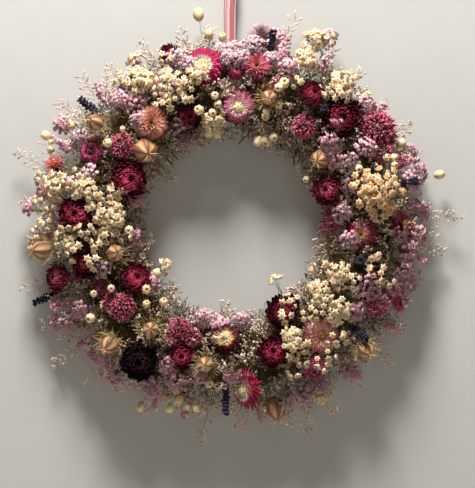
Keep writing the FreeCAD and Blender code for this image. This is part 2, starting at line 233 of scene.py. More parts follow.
def carried(tree, attribute):
    """A number that the mesh carries."""
    return add(tree, "ShaderNodeAttribute", attribute_name=attribute).outputs["Fac"]


def petal_map(tree):
    """The shares across and along a petal."""
    return add(tree, "ShaderNodeSeparateXYZ", {0: put(tree, "ShaderNodeUVMap", uv_map="petal")}).outputs


def mottle(tree, scale, detail, place=None):
    """Noise over a place, which is the object's own coordinates if none is given."""
    place = place or add(tree, "ShaderNodeTexCoord").outputs["Object"]
    return add(tree, "ShaderNodeTexNoise", {"Vector": place, "Scale": scale, "Detail": detail}).outputs["Fac"]


def ramp(tree, share, stops):
    """The colour of a ramp at a share."""
    made = add(tree, "ShaderNodeValToRGB", {0: share})
    elements, pairs = made.color_ramp.elements, [stop.split(":") for stop in stops.split()]
    while len(elements) < len(pairs):
        elements.new(1.0)
    for element, (percent, colour) in zip(elements, pairs):
        element.position = int(percent) / 100
        element.color = linear("#" + colour)
    return made.outputs[0]


def new_material(name):
    material = bpy.data.materials.new(name)
    material.use_nodes = True
    material.node_tree.nodes.clear()
    return material, material.node_tree


def show(tree, colour, roughness, height=None, strength=0.0, rise=0.0, clear=None, **more):
    """Ends a material with a surface. Its relief has a rise in millimetres; clear is where it isn't there."""
    inputs = {"Base Color": colour, "Roughness": roughness}
    inputs.update({name.replace("_", " "): value for name, value in more.items()})
    if height:
        relief = {"Height": height, "Strength": strength, "Distance": rise * MM}
        inputs["Normal"] = put(tree, "ShaderNodeBump", relief)
    shader = put(tree, "ShaderNodeBsdfPrincipled", inputs)
    if clear:
        gone = put(tree, "ShaderNodeBsdfTransparent")
        shader = put(tree, "ShaderNodeMixShader", {0: clear, 1: shader, 2: gone})
    add(tree, "ShaderNodeOutputMaterial", {0: shader})


# %% [markdown]
# ## Papery petals
# Strawflower bracts, everlasting florets and statice are all dry, papery and a little silky. Their colour
# runs from a pale heart to a deep rim, breaks into fine streaks along each bract, and differs from one bract
# to the next. One recipe serves them all: a ramp over a share that each mesh carries, streaks from noise
# stretched along the bract, and a second ramp for the paler bracts.

# %% Write the petal recipe
def papery(
    name, deep, pale, share="along", streaks=0.1, streak_count=7.0, sheen=0.12, roughness=0.55, rarity=1.0
):
    """A dry petal: its colour over a share of the head, for a deep bract and for a pale one."""
    material, tree = new_material(name)
    tone, (across, along, _) = carried(tree, "tone"), petal_map(tree)
    shape = along if share == "along" else carried(tree, "reach")
    place = [maths(tree, "MULTIPLY", *pair) for pair in ((across, streak_count), (along, 1.3), (tone, 91.0))]
    fibre = mottle(tree, 1.0, 2.0, put(tree, "ShaderNodeCombineXYZ", dict(enumerate(place))))
    moved = maths(tree, "ADD", shape, mapped(tree, fibre, 0.25, 0.75, -streaks, streaks))
    both = {0: maths(tree, "POWER", tone, rarity), 6: ramp(tree, moved, deep), 7: ramp(tree, moved, pale)}
    colour = add(tree, "ShaderNodeMix", both, data_type="RGBA").outputs[2]
    shine = mapped(tree, fibre, 0.3, 0.7, 0.72, 1.28)
    fibred = put(tree, "ShaderNodeHueSaturation", {"Color": colour, "Value": shine})
    show(tree, fibred, roughness, fibre, 0.35, 0.4,
         Sheen_Weight=sheen, Sheen_Roughness=0.4, Specular_IOR_Level=0.25)
    return material


# %% [markdown]
# ## Stalks, husks and dry leaves
# Everything that isn't a petal is dried plant: thin stalks gone straw-brown, grey-green leaf, husk. Here the
# colour follows a number that each stalk carries, mottled by noise about as wide as a stalk, because dried
# stems differ from one to the next more than along their length.

# %% Write the dried-plant recipe
def dried(name, stops, grain=1.6):
    """A dried plant surface: colours by stalk, mottled over a grain in millimetres."""
    material, tree = new_material(name)
    noise = mottle(tree, 1 / (grain * MM) / 4, 3.0)
    moved = maths(tree, "ADD", carried(tree, "tone"), mapped(tree, noise, 0.3, 0.7, -0.35, 0.35))
    show(tree, ramp(tree, moved, stops), 0.75, noise, 0.4, 0.3, Specular_IOR_Level=0.2)
    return material


# Dried stalk: cut green and hung, it fades to straw where light reached it and stays olive inside.
dried_stalk = dried("dried_stalk", "0:453A21 45:897448 80:C7AE76 100:F4D8A0")
# Dried leaf and moss of the filling: dull olive and brown, the dark ground that heads stand out against.
dried_leaf = dried("dried_leaf", "0:272012 40:51452A 75:7A6D44 100:A39669", 3.0)
# Sea lavender calyx: papery, bleached beige with a breath of mauve.
sea_lavender_calyx = dried("dried_sea_lavender_calyx", "0:9D8472 35:DDC1B0 70:F7DDCD 100:F7E7D5", 1.2)
print("materials so far:", len(bpy.data.materials))

# %% [markdown]
# ## Petal and husk shapes
# All repeated shapes start from two small builders. A blade is a bract: narrow at its foot, widest past its
# middle, pointed, a little hollow, and curled by an angle along its length. A turned shape is a profile spun
# round its axis, with lobes where the rim is scalloped. Both are closed, and both carry a map across and
# along the petal, for the streaks to follow.

# %% Build blades and turned shapes
def as_mesh(name, corners, faces, petal_shares):
    """A closed smooth mesh with outward faces and its own petal map, given per corner of each face."""
    mesh = bpy.data.meshes.new(name)
    mesh.from_pydata(corners, [], faces)
    layer = mesh.uv_layers.new(name="petal")
    layer.data.foreach_set("uv", [value for face in petal_shares for pair in face for value in pair])
    work = bmesh.new()
    work.from_mesh(mesh)
    bmesh.ops.recalc_face_normals(work, faces=work.faces)
    work.to_mesh(mesh)
    work.free()
    mesh.shade_smooth()
    return mesh


def template(mesh):
    """An object that only Geometry Nodes use. It isn't linked to the scene."""
    return bpy.data.objects.new(mesh.name, mesh)


def blade(name, width, curl, hollow, thickness=0.03, shares=(0.55, 0.85, 1.0, 0.8), ends=(0, 0.3, 0.6, 0.85)):
    """A bract one unit long that grows along Z with its back to X, and curls towards its back."""
    corners, faces, petal_shares = [], [], []
    for share, along in zip(shares, ends):
        bend, half = curl * along, width * share / 2
        back = Vector((cos(bend), 0, -sin(bend)))
        middle = Vector(((1 - cos(bend)) / curl, 0, sin(bend) / curl))
        corners.append(middle - back * hollow * half - Vector((0, half, 0)))
        corners.append(middle - back * thickness / 2)
        corners.append(middle - back * hollow * half + Vector((0, half, 0)))
        corners.append(middle + back * thickness / 2)
    corners.append(Vector(((1 - cos(curl)) / curl, 0, sin(curl) / curl)))
    last, sides, rows = len(corners) - 1, (0, 0.5, 1, 0.5), len(shares)
    for row in range(rows - 1):
        for k in range(4):
            n = (k + 1) % 4
            faces.append((4 * row + k, 4 * row + n, 4 * row + 4 + n, 4 * row + 4 + k))
            low, high = ends[row], ends[row + 1]
            petal_shares.append([(sides[k], low), (sides[n], low), (sides[n], high), (sides[k], high)])
    for k in range(4):
        n, row = (k + 1) % 4, rows - 1
        faces.append((4 * row + k, 4 * row + n, last))
        petal_shares.append([(sides[k], ends[row]), (sides[n], ends[row]), (0.5, 1)])
    faces.append((0, 1, 2, 3))
    petal_shares.append([(side, 0) for side in sides])
    return as_mesh(name, corners, faces, petal_shares)


def turned(name, profile, sides, lobes=0):
    """A profile of (radius, height, depth of lobe) spun round Z. Its first and last points are the poles."""
    corners, faces, petal_shares = [Vector((0, 0, profile[0][1]))], [], []
    inner, total = profile[1:-1], len(profile) - 1
    for radius, height, dip in inner:
        for k in range(sides):
            turn = 2 * pi * k / sides
            wide = radius * (1 - dip * (0.5 - 0.5 * cos(lobes * turn)))
            corners.append(Vector((wide * cos(turn), wide * sin(turn), height)))
    corners.append(Vector((0, 0, profile[-1][1])))
    top = 1 + (len(inner) - 1) * sides
    for k in range(sides):
        n, u, w = (k + 1) % sides, k / sides, (k + 1) / sides
        faces.append((0, 1 + n, 1 + k))
        petal_shares.append([(u, 0), (w, 1 / total), (u, 1 / total)])
        for row in range(len(inner) - 1):
            low, high = 1 + row * sides, 1 + (row + 1) * sides
            faces.append((low + k, low + n, high + n, high + k))
            v, y = (row + 1) / total, (row + 2) / total
            petal_shares.append([(u, v), (w, v), (w, y), (u, y)])
        faces.append((top + k, top + n, len(corners) - 1))
        petal_shares.append([(u, 1 - 1 / total), (w, 1 - 1 / total), (u, 1)])
    return as_mesh(name, corners, faces, petal_shares)


print("shape builders ready")

# %% [markdown]
# ## One tree for florets on stalks
# Statice, sea lavender, everlastings, lavender and tufts are the same thing to build: many small florets,
# each looking its own way, on thin branching stalks. The tree takes one mesh whose loose points are florets
# and whose edges are stalks. It sets the floret on each point, turned by a random angle about its own axis,
# and sweeps a small circle along the edges. The random turn has a fixed seed.

# %% Build the tree of florets and stalks
def new_tree(name, **inputs):
    """An empty Geometry Nodes tree with named inputs, by kind."""
    tree = bpy.data.node_groups.new(name, "GeometryNodeTree")
    tree.interface.new_socket("Geometry", in_out="INPUT", socket_type="NodeSocketGeometry")
    for kind, labels in inputs.items():
        for label in labels:
            tree.interface.new_socket(label, in_out="INPUT", socket_type="NodeSocket" + kind)
    tree.interface.new_socket("Geometry", in_out="OUTPUT", socket_type="NodeSocketGeometry")
    return tree, add(tree, "NodeGroupInput").outputs


def named(tree, attribute, kind="FLOAT"):
    """The value that each point carries under a name."""
    return put(tree, "GeometryNodeInputNamedAttribute", {0: attribute}, data_type=kind)


def random_between(tree, low, high, seed):
    values = {2: low, 3: high, "Seed": seed}
    return add(tree, "FunctionNodeRandomValue", values, data_type="FLOAT").outputs[1]


def set_out(tree, points, shape, **values):
    """Instances of an object on points, made into plain mesh."""
    values["Points"] = points
    values["Instance"] = add(tree, "GeometryNodeObjectInfo", {"Object": shape}).outputs["Geometry"]
    return put(tree, "GeometryNodeRealizeInstances", {0: put(tree, "GeometryNodeInstanceOnPoints", values)})


def with_material(tree, mesh, material):
    return put(tree, "GeometryNodeSetMaterial", {0: mesh, "Material": material})


tree, given = new_tree(
    "florets_on_stalks", Object=["Floret"], Material=["Floret Material", "Stalk Material"],
    Int=["Stalk Sides", "Seed"], Float=["Size Spread"],
)
floret_tree, size = tree, named(tree, "size")
least, most = (maths(tree, way, 1.0, given["Size Spread"]) for way in ("SUBTRACT", "ADD"))
spin = random_between(tree, 0.0, 2 * pi, given["Seed"])
aim = {"Vector": named(tree, "aim", "FLOAT_VECTOR")}
aimed = put(tree, "FunctionNodeAlignRotationToVector", aim, axis="Z")
about = put(tree, "FunctionNodeAxisAngleToRotation", {"Axis": (0, 0, 1), "Angle": spin})
florets = set_out(
    tree,
    given["Geometry"],
    given["Floret"],
    Selection=put(tree, "FunctionNodeCompare", {0: size, 1: 0.0}, operation="GREATER_THAN"),
    Rotation=put(tree, "FunctionNodeRotateRotation", {0: aimed, 1: about}, rotation_space="LOCAL"),
    Scale=maths(tree, "MULTIPLY", size, random_between(tree, least, most, given["Seed"])),
)
lines = put(tree, "GeometryNodeMeshToCurve", {0: given["Geometry"]})
ring = put(tree, "GeometryNodeCurvePrimitiveCircle", {"Resolution": given["Stalk Sides"], "Radius": 0.5})
sweep = {"Curve": lines, "Profile Curve": ring, "Scale": named(tree, "width"), "Fill Caps": True}
stalks = with_material(tree, put(tree, "GeometryNodeCurveToMesh", sweep), given["Stalk Material"])
together = add(tree, "GeometryNodeJoinGeometry", {0: with_material(tree, florets, given["Floret Material"])})
tree.links.new(stalks, together.inputs[0])
add(tree, "NodeGroupOutput", {0: together.outputs[0]})
print("florets_on_stalks has", len(tree.nodes), "nodes")

# %% [markdown]
# ## Running a tree
# A modifier runs the tree on a mesh. Its inputs are set by their identifiers before the object is evaluated,
# the result is copied out as a plain mesh, and the carrier is removed, so no live modifier is left. Plain
# meshes are then joined into one piece, which rides on a body and stands for the CAD node that it replaces.


def grown(tree, mesh, **values):
    """Runs a tree on a mesh and returns the plain mesh that it makes."""
    carrier = bpy.data.objects.new("carrier", mesh)
    bpy.context.scene.collection.objects.link(carrier)
    modifier = carrier.modifiers.new(tree.name, "NODES")
    modifier.node_group = tree
    for item in tree.interface.items_tree:
        key = item.name.replace(" ", "_").lower()
        if item.in_out == "INPUT" and key in values:
            modifier[item.identifier] = values[key]
    ready = bpy.context.evaluated_depsgraph_get()
    made = bpy.data.meshes.new_from_object(
        carrier.evaluated_get(ready), preserve_all_data_layers=True, depsgraph=ready
    )
    bpy.data.objects.remove(carrier)
    return made


def finish_piece(node, meshes, body="wreath", name=None, replaces=True):
    """Joins plain meshes into one piece, which replaces a CAD node or adds to it."""
    parts = []
    for mesh in meshes:
        part = bpy.data.objects.new(name or node, mesh)
        bpy.context.scene.collection.objects.link(part)
        parts.append(part)
    if len(parts) > 1:
        with bpy.context.temp_override(active_object=parts[0], selected_editable_objects=parts):
            bpy.ops.object.join()
    piece = parts[0]
    piece.name = name or node + "_detailed"
    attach(piece, body)
    if replaces:
        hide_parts(node)
    piece.data.calc_loop_triangles()
    print(f"{piece.name}: {len(piece.data.loop_triangles):,} triangles")
    return piece


# %% [markdown]
# ## Collecting points and stalks
# A growth gathers the points and edges that the tree needs. Each floret has a size in millimetres, the way it
# looks, and a tone from 0 to 1 that its material reads. A stalk is a line of points with a width.

# %% Write the growth
class Growth:
    """The florets and stalks of one kind of plant."""

    def __init__(self):
        self.places, self.aims, self.sizes, self.tones, self.widths, self.edges = [], [], [], [], [], []

    def add_point(self, place, aim, size_mm, tone, width_mm):
        self.places.append(tuple(place))
        self.aims.append(tuple(aim))
        self.sizes.append(size_mm * MM)
        self.tones.append(tone)
        self.widths.append(width_mm * MM)

    def floret(self, place, aim, size_mm, tone=0.5):
        self.add_point(place, aim, size_mm, tone, 0.0)

    def stalk(self, line, width_mm, tone=0.5):
        first, last = len(self.places), len(line) - 1
        for k, place in enumerate(line):
            self.add_point(place, FORWARD, 0.0, tone, width_mm * (1 - 0.5 * k / last))
        self.edges += [(first + k, first + k + 1) for k in range(last)]

    def grow(self, name, floret, floret_material, stalk_material=None, sides=3, spread=0.2, seed=1):
        """The plain mesh of these florets and stalks."""
        mesh = bpy.data.meshes.new(name)
        mesh.from_pydata(self.places, self.edges, [])
        mesh.attributes.new("aim", "FLOAT_VECTOR", "POINT").data.foreach_set("vector", as_floats(self.aims))
        for label, values in (("size", self.sizes), ("tone", self.tones), ("width", self.widths)):
            mesh.attributes.new(label, "FLOAT", "POINT").data.foreach_set("value", as_floats(values))
        return grown(
            floret_tree, mesh, floret=floret, floret_material=floret_material, stalk_sides=sides,
            stalk_material=stalk_material or dried_stalk, size_spread=spread, seed=seed,
        )


def as_floats(values):
    return np.ravel(values).astype(np.float32)


def arched(start, end, leaving, steps=3):
    """A line from start to end that leaves start along a direction."""
    control = start + leaving * (end - start).length * 0.5
    shares = [k / steps for k in range(steps + 1)]
    return [start * (1 - s) ** 2 + control * 2 * s * (1 - s) + end * s**2 for s in shares]


def scattered(roll, spread):
    """A random vector with a spread in millimetres."""
    return Vector(roll.normal(0, 1, 3)) * spread * MM


def swayed(roll, direction, amount):
    """A direction, leaning off by a random amount."""
    return (direction + Vector(roll.normal(0, amount, 3))).normalized()


class Dice(np.random.Generator):
    """The draws of one kind of plant. A call draws evenly between two values, the same in every run."""

    __call__ = np.random.Generator.uniform

    def __init__(self, seed):
        super().__init__(np.random.PCG64(seed))


# %% [markdown]
# ## The filling of each bunch
# Under the flowers, each bunch is a tight bundle of dried stems and leaf. From behind, the cut stems show,
# running along the ring under the binding wire. A hidden core that follows the bunch keeps the wall from
# showing through, and stems and short leafy strands are laid over it with the floret tree.

# %% Fill the twelve bunches
def bunch_core(node):
    """A softened, uneven copy of a bunch's solid, a little smaller than it."""
    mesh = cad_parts[node].data.copy()
    mesh.name = node + "_core"
    work = bmesh.new()
    work.from_mesh(mesh)
    bmesh.ops.remove_doubles(work, verts=work.verts, dist=0.001 * MM)
    bmesh.ops.subdivide_edges(work, edges=work.edges, cuts=2, use_grid_fill=True)
    middle = sum((v.co for v in work.verts), Vector()) / len(work.verts)
    for vert in work.verts:
        wave = sin(vert.co.x * 900) * sin(vert.co.z * 1100 + 1) * sin(vert.co.y * 1300)
        vert.co += (middle - vert.co) * (0.07 + 0.04 * wave)
    bmesh.ops.triangulate(work, faces=work.faces)
    work.to_mesh(mesh)
    work.free()
    mesh.materials.clear()
    mesh.materials.append(dried_leaf)
    tone = mesh.attributes.new("tone", "FLOAT", "POINT")
    tone.data.foreach_set("value", [0.5] * len(mesh.vertices))
    mesh.shade_smooth()
    return mesh


leaf_blade = template(blade("leaf_blade", 0.16, 0.5, 0.2))
pad_profile = [(0, -0.3, 0), (0.4, -0.22, 0.3), (0.5, 0, 0.35), (0.36, 0.24, 0.3), (0, 0.3, 0)]
leaf_pad = template(turned("leaf_pad", pad_profile, 10, 5))
BACK_STEMS, LEAFY_STRANDS, TENDRILS, PADS = 46, 430, 190, 54
filler_names = sorted(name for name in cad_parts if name.startswith("filler_bunch"))
for number, name in enumerate(filler_names):
    roll = Dice(100 + number)
    low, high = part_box(name)
    clock = clock_of((low + high) / 2)[0]
    back_stems, strands = Growth(), Growth()
    for k in range(BACK_STEMS):
        offset = roll(-31, 31)
        depth = 2.2 + abs(roll.normal(0, 0.8))
        begin, end = clock - roll(13, 17), clock + roll(9, 15)
        line = [
            spot(begin + (end - begin) * s, offset * (0.8 + 0.25 * s), depth + 1.5 * s)
            for s in (0, 0.25, 0.5, 0.75, 1)
        ]
        back_stems.stalk(line, roll(0.9, 1.7), roll(0.3, 0.9))
    for k in range(LEAFY_STRANDS):
        turn = roll(-0.55, 1.0) * pi * 0.5 * roll.choice((-1, 1))
        at, offset = clock + roll(-15.5, 15.5), 33 * sin(turn)
        start = spot(at, offset, 4 + 23 * max(0.0, cos(turn)))
        way = swayed(roll, outlook(at, offset * 3), 0.55)
        end = start + way * roll(9, 20) * MM
        line = arched(start, end, swayed(roll, way, 0.5), 2)
        strands.stalk(line, roll(0.35, 0.7), roll(0, 0.8))
        if k % 2:
            strands.floret(end, swayed(roll, way, 0.6), roll(5, 9), roll(0.2, 1.0))
            middle = (start + end) / 2
            strands.floret(middle, swayed(roll, way, 0.8), roll(5, 10), roll(0, 0.8))
    for k in range(TENDRILS):
        at, offset = clock + roll(-16, 16), roll(-46, 42)
        start = spot(at, offset, face_at(offset) * roll(0.5, 0.88))
        way = swayed(roll, outlook(at, offset) * 0.3, 0.8)
        line = arched(start, start + way * roll(9, 18) * MM, swayed(roll, way, 0.9), 4)
        strands.stalk(line, roll(0.5, 0.85), roll(0.5, 1.2))
    if number in (0, len(filler_names) - 1):
        for k in range(PADS):
            at, offset = roll(-0.5, 9) * (1 if number == 0 else -1), roll(-36, 24)
            pad = spot(at, offset, roll(14, 20) if offset > -2 else roll(6, 20))
            back_stems.floret(pad, swayed(roll, FORWARD, 0.6), roll(9, 14), roll(0, 0.7))
    bundle = back_stems.grow("bundled_stems", leaf_pad, dried_leaf, sides=5, seed=number)
    leaves = strands.grow("leafy_strands", leaf_blade, dried_leaf, dried_leaf, seed=number)
    finish_piece(name, [bunch_core(name), bundle, leaves], name=f"bunch_{number + 1:02d}_filling")

# %% [markdown]
# ## Sea lavender
# Sea lavender is the grey-mauve haze between the flowers: hair-thin branching stalks with tiny papery cups
# along one side of each twig. Sprays reach past both rims, and short sprigs fill every gap on the face. One
# sprig function branches a main stalk and sets cups along its twigs.

# %% Grow the sea lavender
calyx_cup = template(turned("calyx_cup", [(0, 0, 0), (0.26, 0.3, 0), (0.5, 1.0, 0.2), (0, 0.7, 0)], 5))


def in_ribbon_way(tip):
    """True where the ribbon passes through the garland, also when the wreath tilts forward."""
    clock, offset = clock_of(tip)
    near_top = min(clock, 360 - clock) < 7 and offset > 9
    return near_top and -tip.y / MM < 16 + 0.47 * (offset - 9)


def sprig(growth, roll, start, tip, leaving, twigs, cups, cup_size=2.1, side=7.0, tones=(0.2, 1.0)):
    """A branching sprig from start to tip, its twigs in the last two thirds."""
    line = arched(start, tip, leaving, 5)
    tone = roll(0.35, 0.8)
    growth.stalk(line, 0.6, tone)
    for k in range(3):
        place = line[-2].lerp(tip, k / 2) + scattered(roll, 0.6)
        growth.floret(place, swayed(roll, leaving, 0.5), cup_size, 0.7)
    for k in range(twigs):
        share = 0.3 + 0.7 * (k + roll(0, 0.8)) / twigs
        step = int(share * 5)
        place = line[step].lerp(line[step + 1], share * 5 % 1)
        along = (tip - start).normalized()
        across = swayed(roll, along.cross(FORWARD) * (1 if k % 2 else -1), 0.35)
        way = (along * 0.9 + across * 0.8).normalized()
        reach = min(side * MM, (tip - start).length * 0.4) * (1.25 - 0.6 * share) * roll(0.7, 1.3)
        end = place + way * reach
        growth.stalk(arched(place, end, along, 2), 0.38, tone)
        for c in range(cups):
            at = place.lerp(end, 0.35 + 0.65 * (c + 0.6) / cups)
            look = swayed(roll, (along + way * 0.5).normalized(), 0.45)
            growth.floret(at + scattered(roll, 0.5), look, cup_size, roll(*tones))


FACE_SPRIGS, RIM_SPRIGS, RIBBON_SPRIGS, MIDDLE_SPRIGS = 820, 60, 18, 104
roll = Dice(21)
sea_lavender, haze = Growth(), [Growth() for quarter in range(4)]
for corners in solids_of("sea_lavender_sprays"):
    near, far = ends_of(corners)
    outer = reach_of(far) > garland_radius + 40 * MM
    root, tip = (near, far) if outer else (far, near)
    clock, offset = clock_of(tip)
    leaving = outward(clock) * (1 if outer else -1)
    sprig(sea_lavender, roll, root, tip, leaving, 13, 4, side=11.0)
    beside = spot(clock + roll.choice((-6, 5)), offset * roll(0.7, 0.82), roll(4, 22))
    sprig(sea_lavender, roll, root, beside, leaving, 9, 3, side=9.0)
# Sprigs all over the face.
for k in range(FACE_SPRIGS):
    clock = k * 360 / FACE_SPRIGS
    here, clock = haze[int(clock // 90)], clock + roll(-2, 2)
    offset = 3 + 48 * roll(-1, 1)
    depth = face_at(offset) - roll(1, 15)
    tip = spot(clock, offset, depth)
    root = spot(clock + roll(-5, 5), offset * 0.55, depth * 0.55)
    if not in_ribbon_way(tip):
        sprig(here, roll, root, tip, outlook(clock, offset), 5, 3, cup_size=2.0, tones=(0.0, 1.0))
# Sprigs past the outer rim.
for k in range(RIM_SPRIGS):
    clock = k * 360 / RIM_SPRIGS + roll(0, 6)
    tip = spot(clock, roll(42, 60), roll(2, 30))
    root = spot(clock + roll(-6, 6), 30, 14)
    if not in_ribbon_way(tip):
        sprig(haze[k * 4 // RIM_SPRIGS], roll, root, tip, outward(clock), 6, 4, side=8.0)
# Sprigs in front of the place where the ribbon goes in.
for k in range(RIBBON_SPRIGS):
    tip = spot(roll(-5, 5), roll(-8, 12), 34 + roll(0, 8))
    root = spot(roll(-6, 6), roll(-16, 0), 18)
    sprig(haze[0], roll, root, tip, FORWARD, 6, 4, cup_size=2.2, side=9.0, tones=(0.0, 0.8))
# Sprigs into the middle, in darker tones that are painted shade inside the ring.
for k in range(MIDDLE_SPRIGS):
    clock = k * 360 / MIDDLE_SPRIGS + roll(-2, 2)
    tip = spot(clock, roll(-51, -41), roll(3, 26))
    root = spot(clock + roll(-5, 5), -24, 14)
    sprig(haze[k * 4 // MIDDLE_SPRIGS], roll, root, tip, -outward(clock), 5, 2, side=6.0, tones=(-0.5, 0.3))
spray = "sea_lavender_sprays"
finish_piece(spray, [sea_lavender.grow("sea_lavender", calyx_cup, sea_lavender_calyx, seed=5)])
for quarter, here in enumerate(haze):
    name = f"sea_lavender_haze_{quarter + 1}"
    sprigs = here.grow(name, calyx_cup, sea_lavender_calyx, seed=6 + quarter)
    finish_piece(spray, [sprigs], name=name, replaces=False)

# %% [markdown]
# ## Statice
# Statice carries small papery funnels with five scalloped lobes, packed along one side of its twigs. Dried,
# it is rose-pink, with paler rims, and some of it is mauve. The florets stand in little domes over the face
# and on sprays that come out past the outer rim.

# %% Grow the statice
statice_funnel = template(
    turned("statice_funnel", [(0, 0, 0), (0.14, 0.3, 0), (0.5, 0.9, 0.34), (0, 0.4, 0)], 10, 5)
)
# Dried statice: rose at the throat, bleached at the rim, with mauve sprays among the pink.
statice_pink = papery(
    "dried_statice_petal",
    "0:A84C62 30:E0809C 50:EEA2B8 68:F7CAD3 85:EA9EB4 100:CC7089",
    "0:745660 30:AC8490 50:CCA6B0 68:E4C6CA 85:C29EA6 100:927078",
    streaks=0.12,
)


def tuft_of(growth, roll, middle, look, radius, count, floret_size, tones, dome, root_depth, stalk):
    """Florets over a small dome that looks one way, each on its stalk from a shared root."""
    root = middle - look * root_depth * MM
    for k in range(count):
        turn = k * GOLDEN_ANGLE + roll(-0.4, 0.4)
        out = sqrt((k + 0.5) / count) * roll(0.85, 1.12)
        flat = around(look, turn)
        lift = dome * (1 - out**2) + roll(-0.2, 0.2)
        place = middle + flat * out * radius * MM + look * lift * radius * 0.6 * MM
        way = swayed(roll, (look + flat * out * 0.9).normalized(), 0.25)
        growth.floret(place, way, floret_size, roll(*tones))
        end = place + way * floret_size * 0.2 * MM
        growth.stalk(arched(root, end, swayed(roll, look, 0.3), 2), stalk, roll(0.2, 0.7))


# Clock angle, offset and radius of each dome: rose-pink ones, then mauve ones.
pink_domes = [
    (13, 57, 9), (16, 39, 8), (20, 27, 10), (27, 77, 6), (48, 42, 8), (49, -10, 7), (45, 8, 6),
    (57, -17, 8), (60, 15, 10), (67, 54, 8), (74, 56, 9), (76, 46, 8), (86, 52, 7), (93, 29, 7),
    (93, 48, 9), (98, 39, 10), (104, 38, 10), (109, 44, 10), (114, 11, 12), (118, 29, 9), (124, 12, 8),
    (141, 50, 7), (175, -43, 7), (180, 10, 7), (192, 13, 7), (196, -41, 8), (200, 25, 9), (205, 14, 7),
    (206, 42, 8), (218, 53, 8), (226, 48, 9), (234, -38, 7), (239, 50, 8), (241, 33, 8), (241, 63, 7),
    (246, 49, 8), (275, 66, 6), (281, 51, 7), (284, 28, 8), (301, 60, 8), (318, 30, 9), (323, 18, 8),
    (334, -26, 8), (187, -36, 7), (264, -38, 7), (286, -38, 5),
]
mauve_domes = [
    (1, 37, 9), (359, 27, 8), (3, 28, 8), (357, 36, 7), (7, 43, 10), (13, 31, 8), (52, -15, 8), (62, -6, 9),
    (70, -12, 8), (83, -28, 8), (97, -20, 8), (151, 43, 9), (157, 41, 13), (163, 43, 8), (186, -39, 6),
    (274, 33, 8), (290, 12, 8), (319, 1, 8), (333, 16, 9), (331, -41, 6), (342, 36, 10), (346, 26, 9),
    (209, 34, 8), (252, -2, 8), (324, 42, 8), (338, 8, 7), (300, 36, 8),
]
roll, statice = Dice(31), Growth()
for domes, tones in ((pink_domes, (0.0, 0.45)), (mauve_domes, (0.55, 1.0))):
    for clock, offset, radius in domes:
        look = swayed(roll, outlook(clock, offset, 10), 0.2)
        middle = spot(clock, offset, face_at(offset) - 4 + roll(-3, 3))
        tuft_of(statice, roll, middle, look, radius, int(radius * 4.6), 4.6, tones, 1.1, 16, 0.45)
for corners in solids_of("pink_statice_sprays"):
    root, tip = ends_of(corners)
    statice.stalk(arched(root, tip, outward(clock_of(root)[0]), 4), 0.8, 0.6)
    for share in np.linspace(0.4, 1.0, 26):
        way = swayed(roll, (tip - root).normalized() + FORWARD * 0.6, 0.6)
        place = root.lerp(tip, share) + way * roll(0.5, 4.5) * MM
        statice.floret(place, way, 4.4, roll(0.0, 0.5))
finish_piece("pink_statice_sprays", [statice.grow("statice", statice_funnel, statice_pink, seed=7)])

# %% [markdown]
# ## Cream everlastings
# The cream clusters are winged everlastings: small double stars of stiff cream bracts round a tan eye, many
# to a stem. They sit highest of all, because they are tucked in last, over the edges of bigger flowers.

# %% Grow the cream everlastings
star_profile = [
    (0, 0, 0), (0.2, 0.12, 0), (0.55, 0.5, 0.42), (0.34, 0.46, 0.3), (0.26, 0.62, 0.4), (0, 0.52, 0)
]
cream_star = template(turned("cream_star", star_profile, 12, 6))
# Dried everlasting bract: stiff, glossy cream, warmer in its folds, with a tan eye.
cream_bract = papery(
    "dried_everlasting_bract",
    "0:B19163 20:EED9B3 42:F7E9D1 60:F6E1BD 80:DDB98B 100:9C6C3B",
    "0:946F41 20:E1B686 42:F7D6A7 60:E8B882 80:D19860 100:946033",
    streaks=0.06, sheen=0.15, roughness=0.45,
)
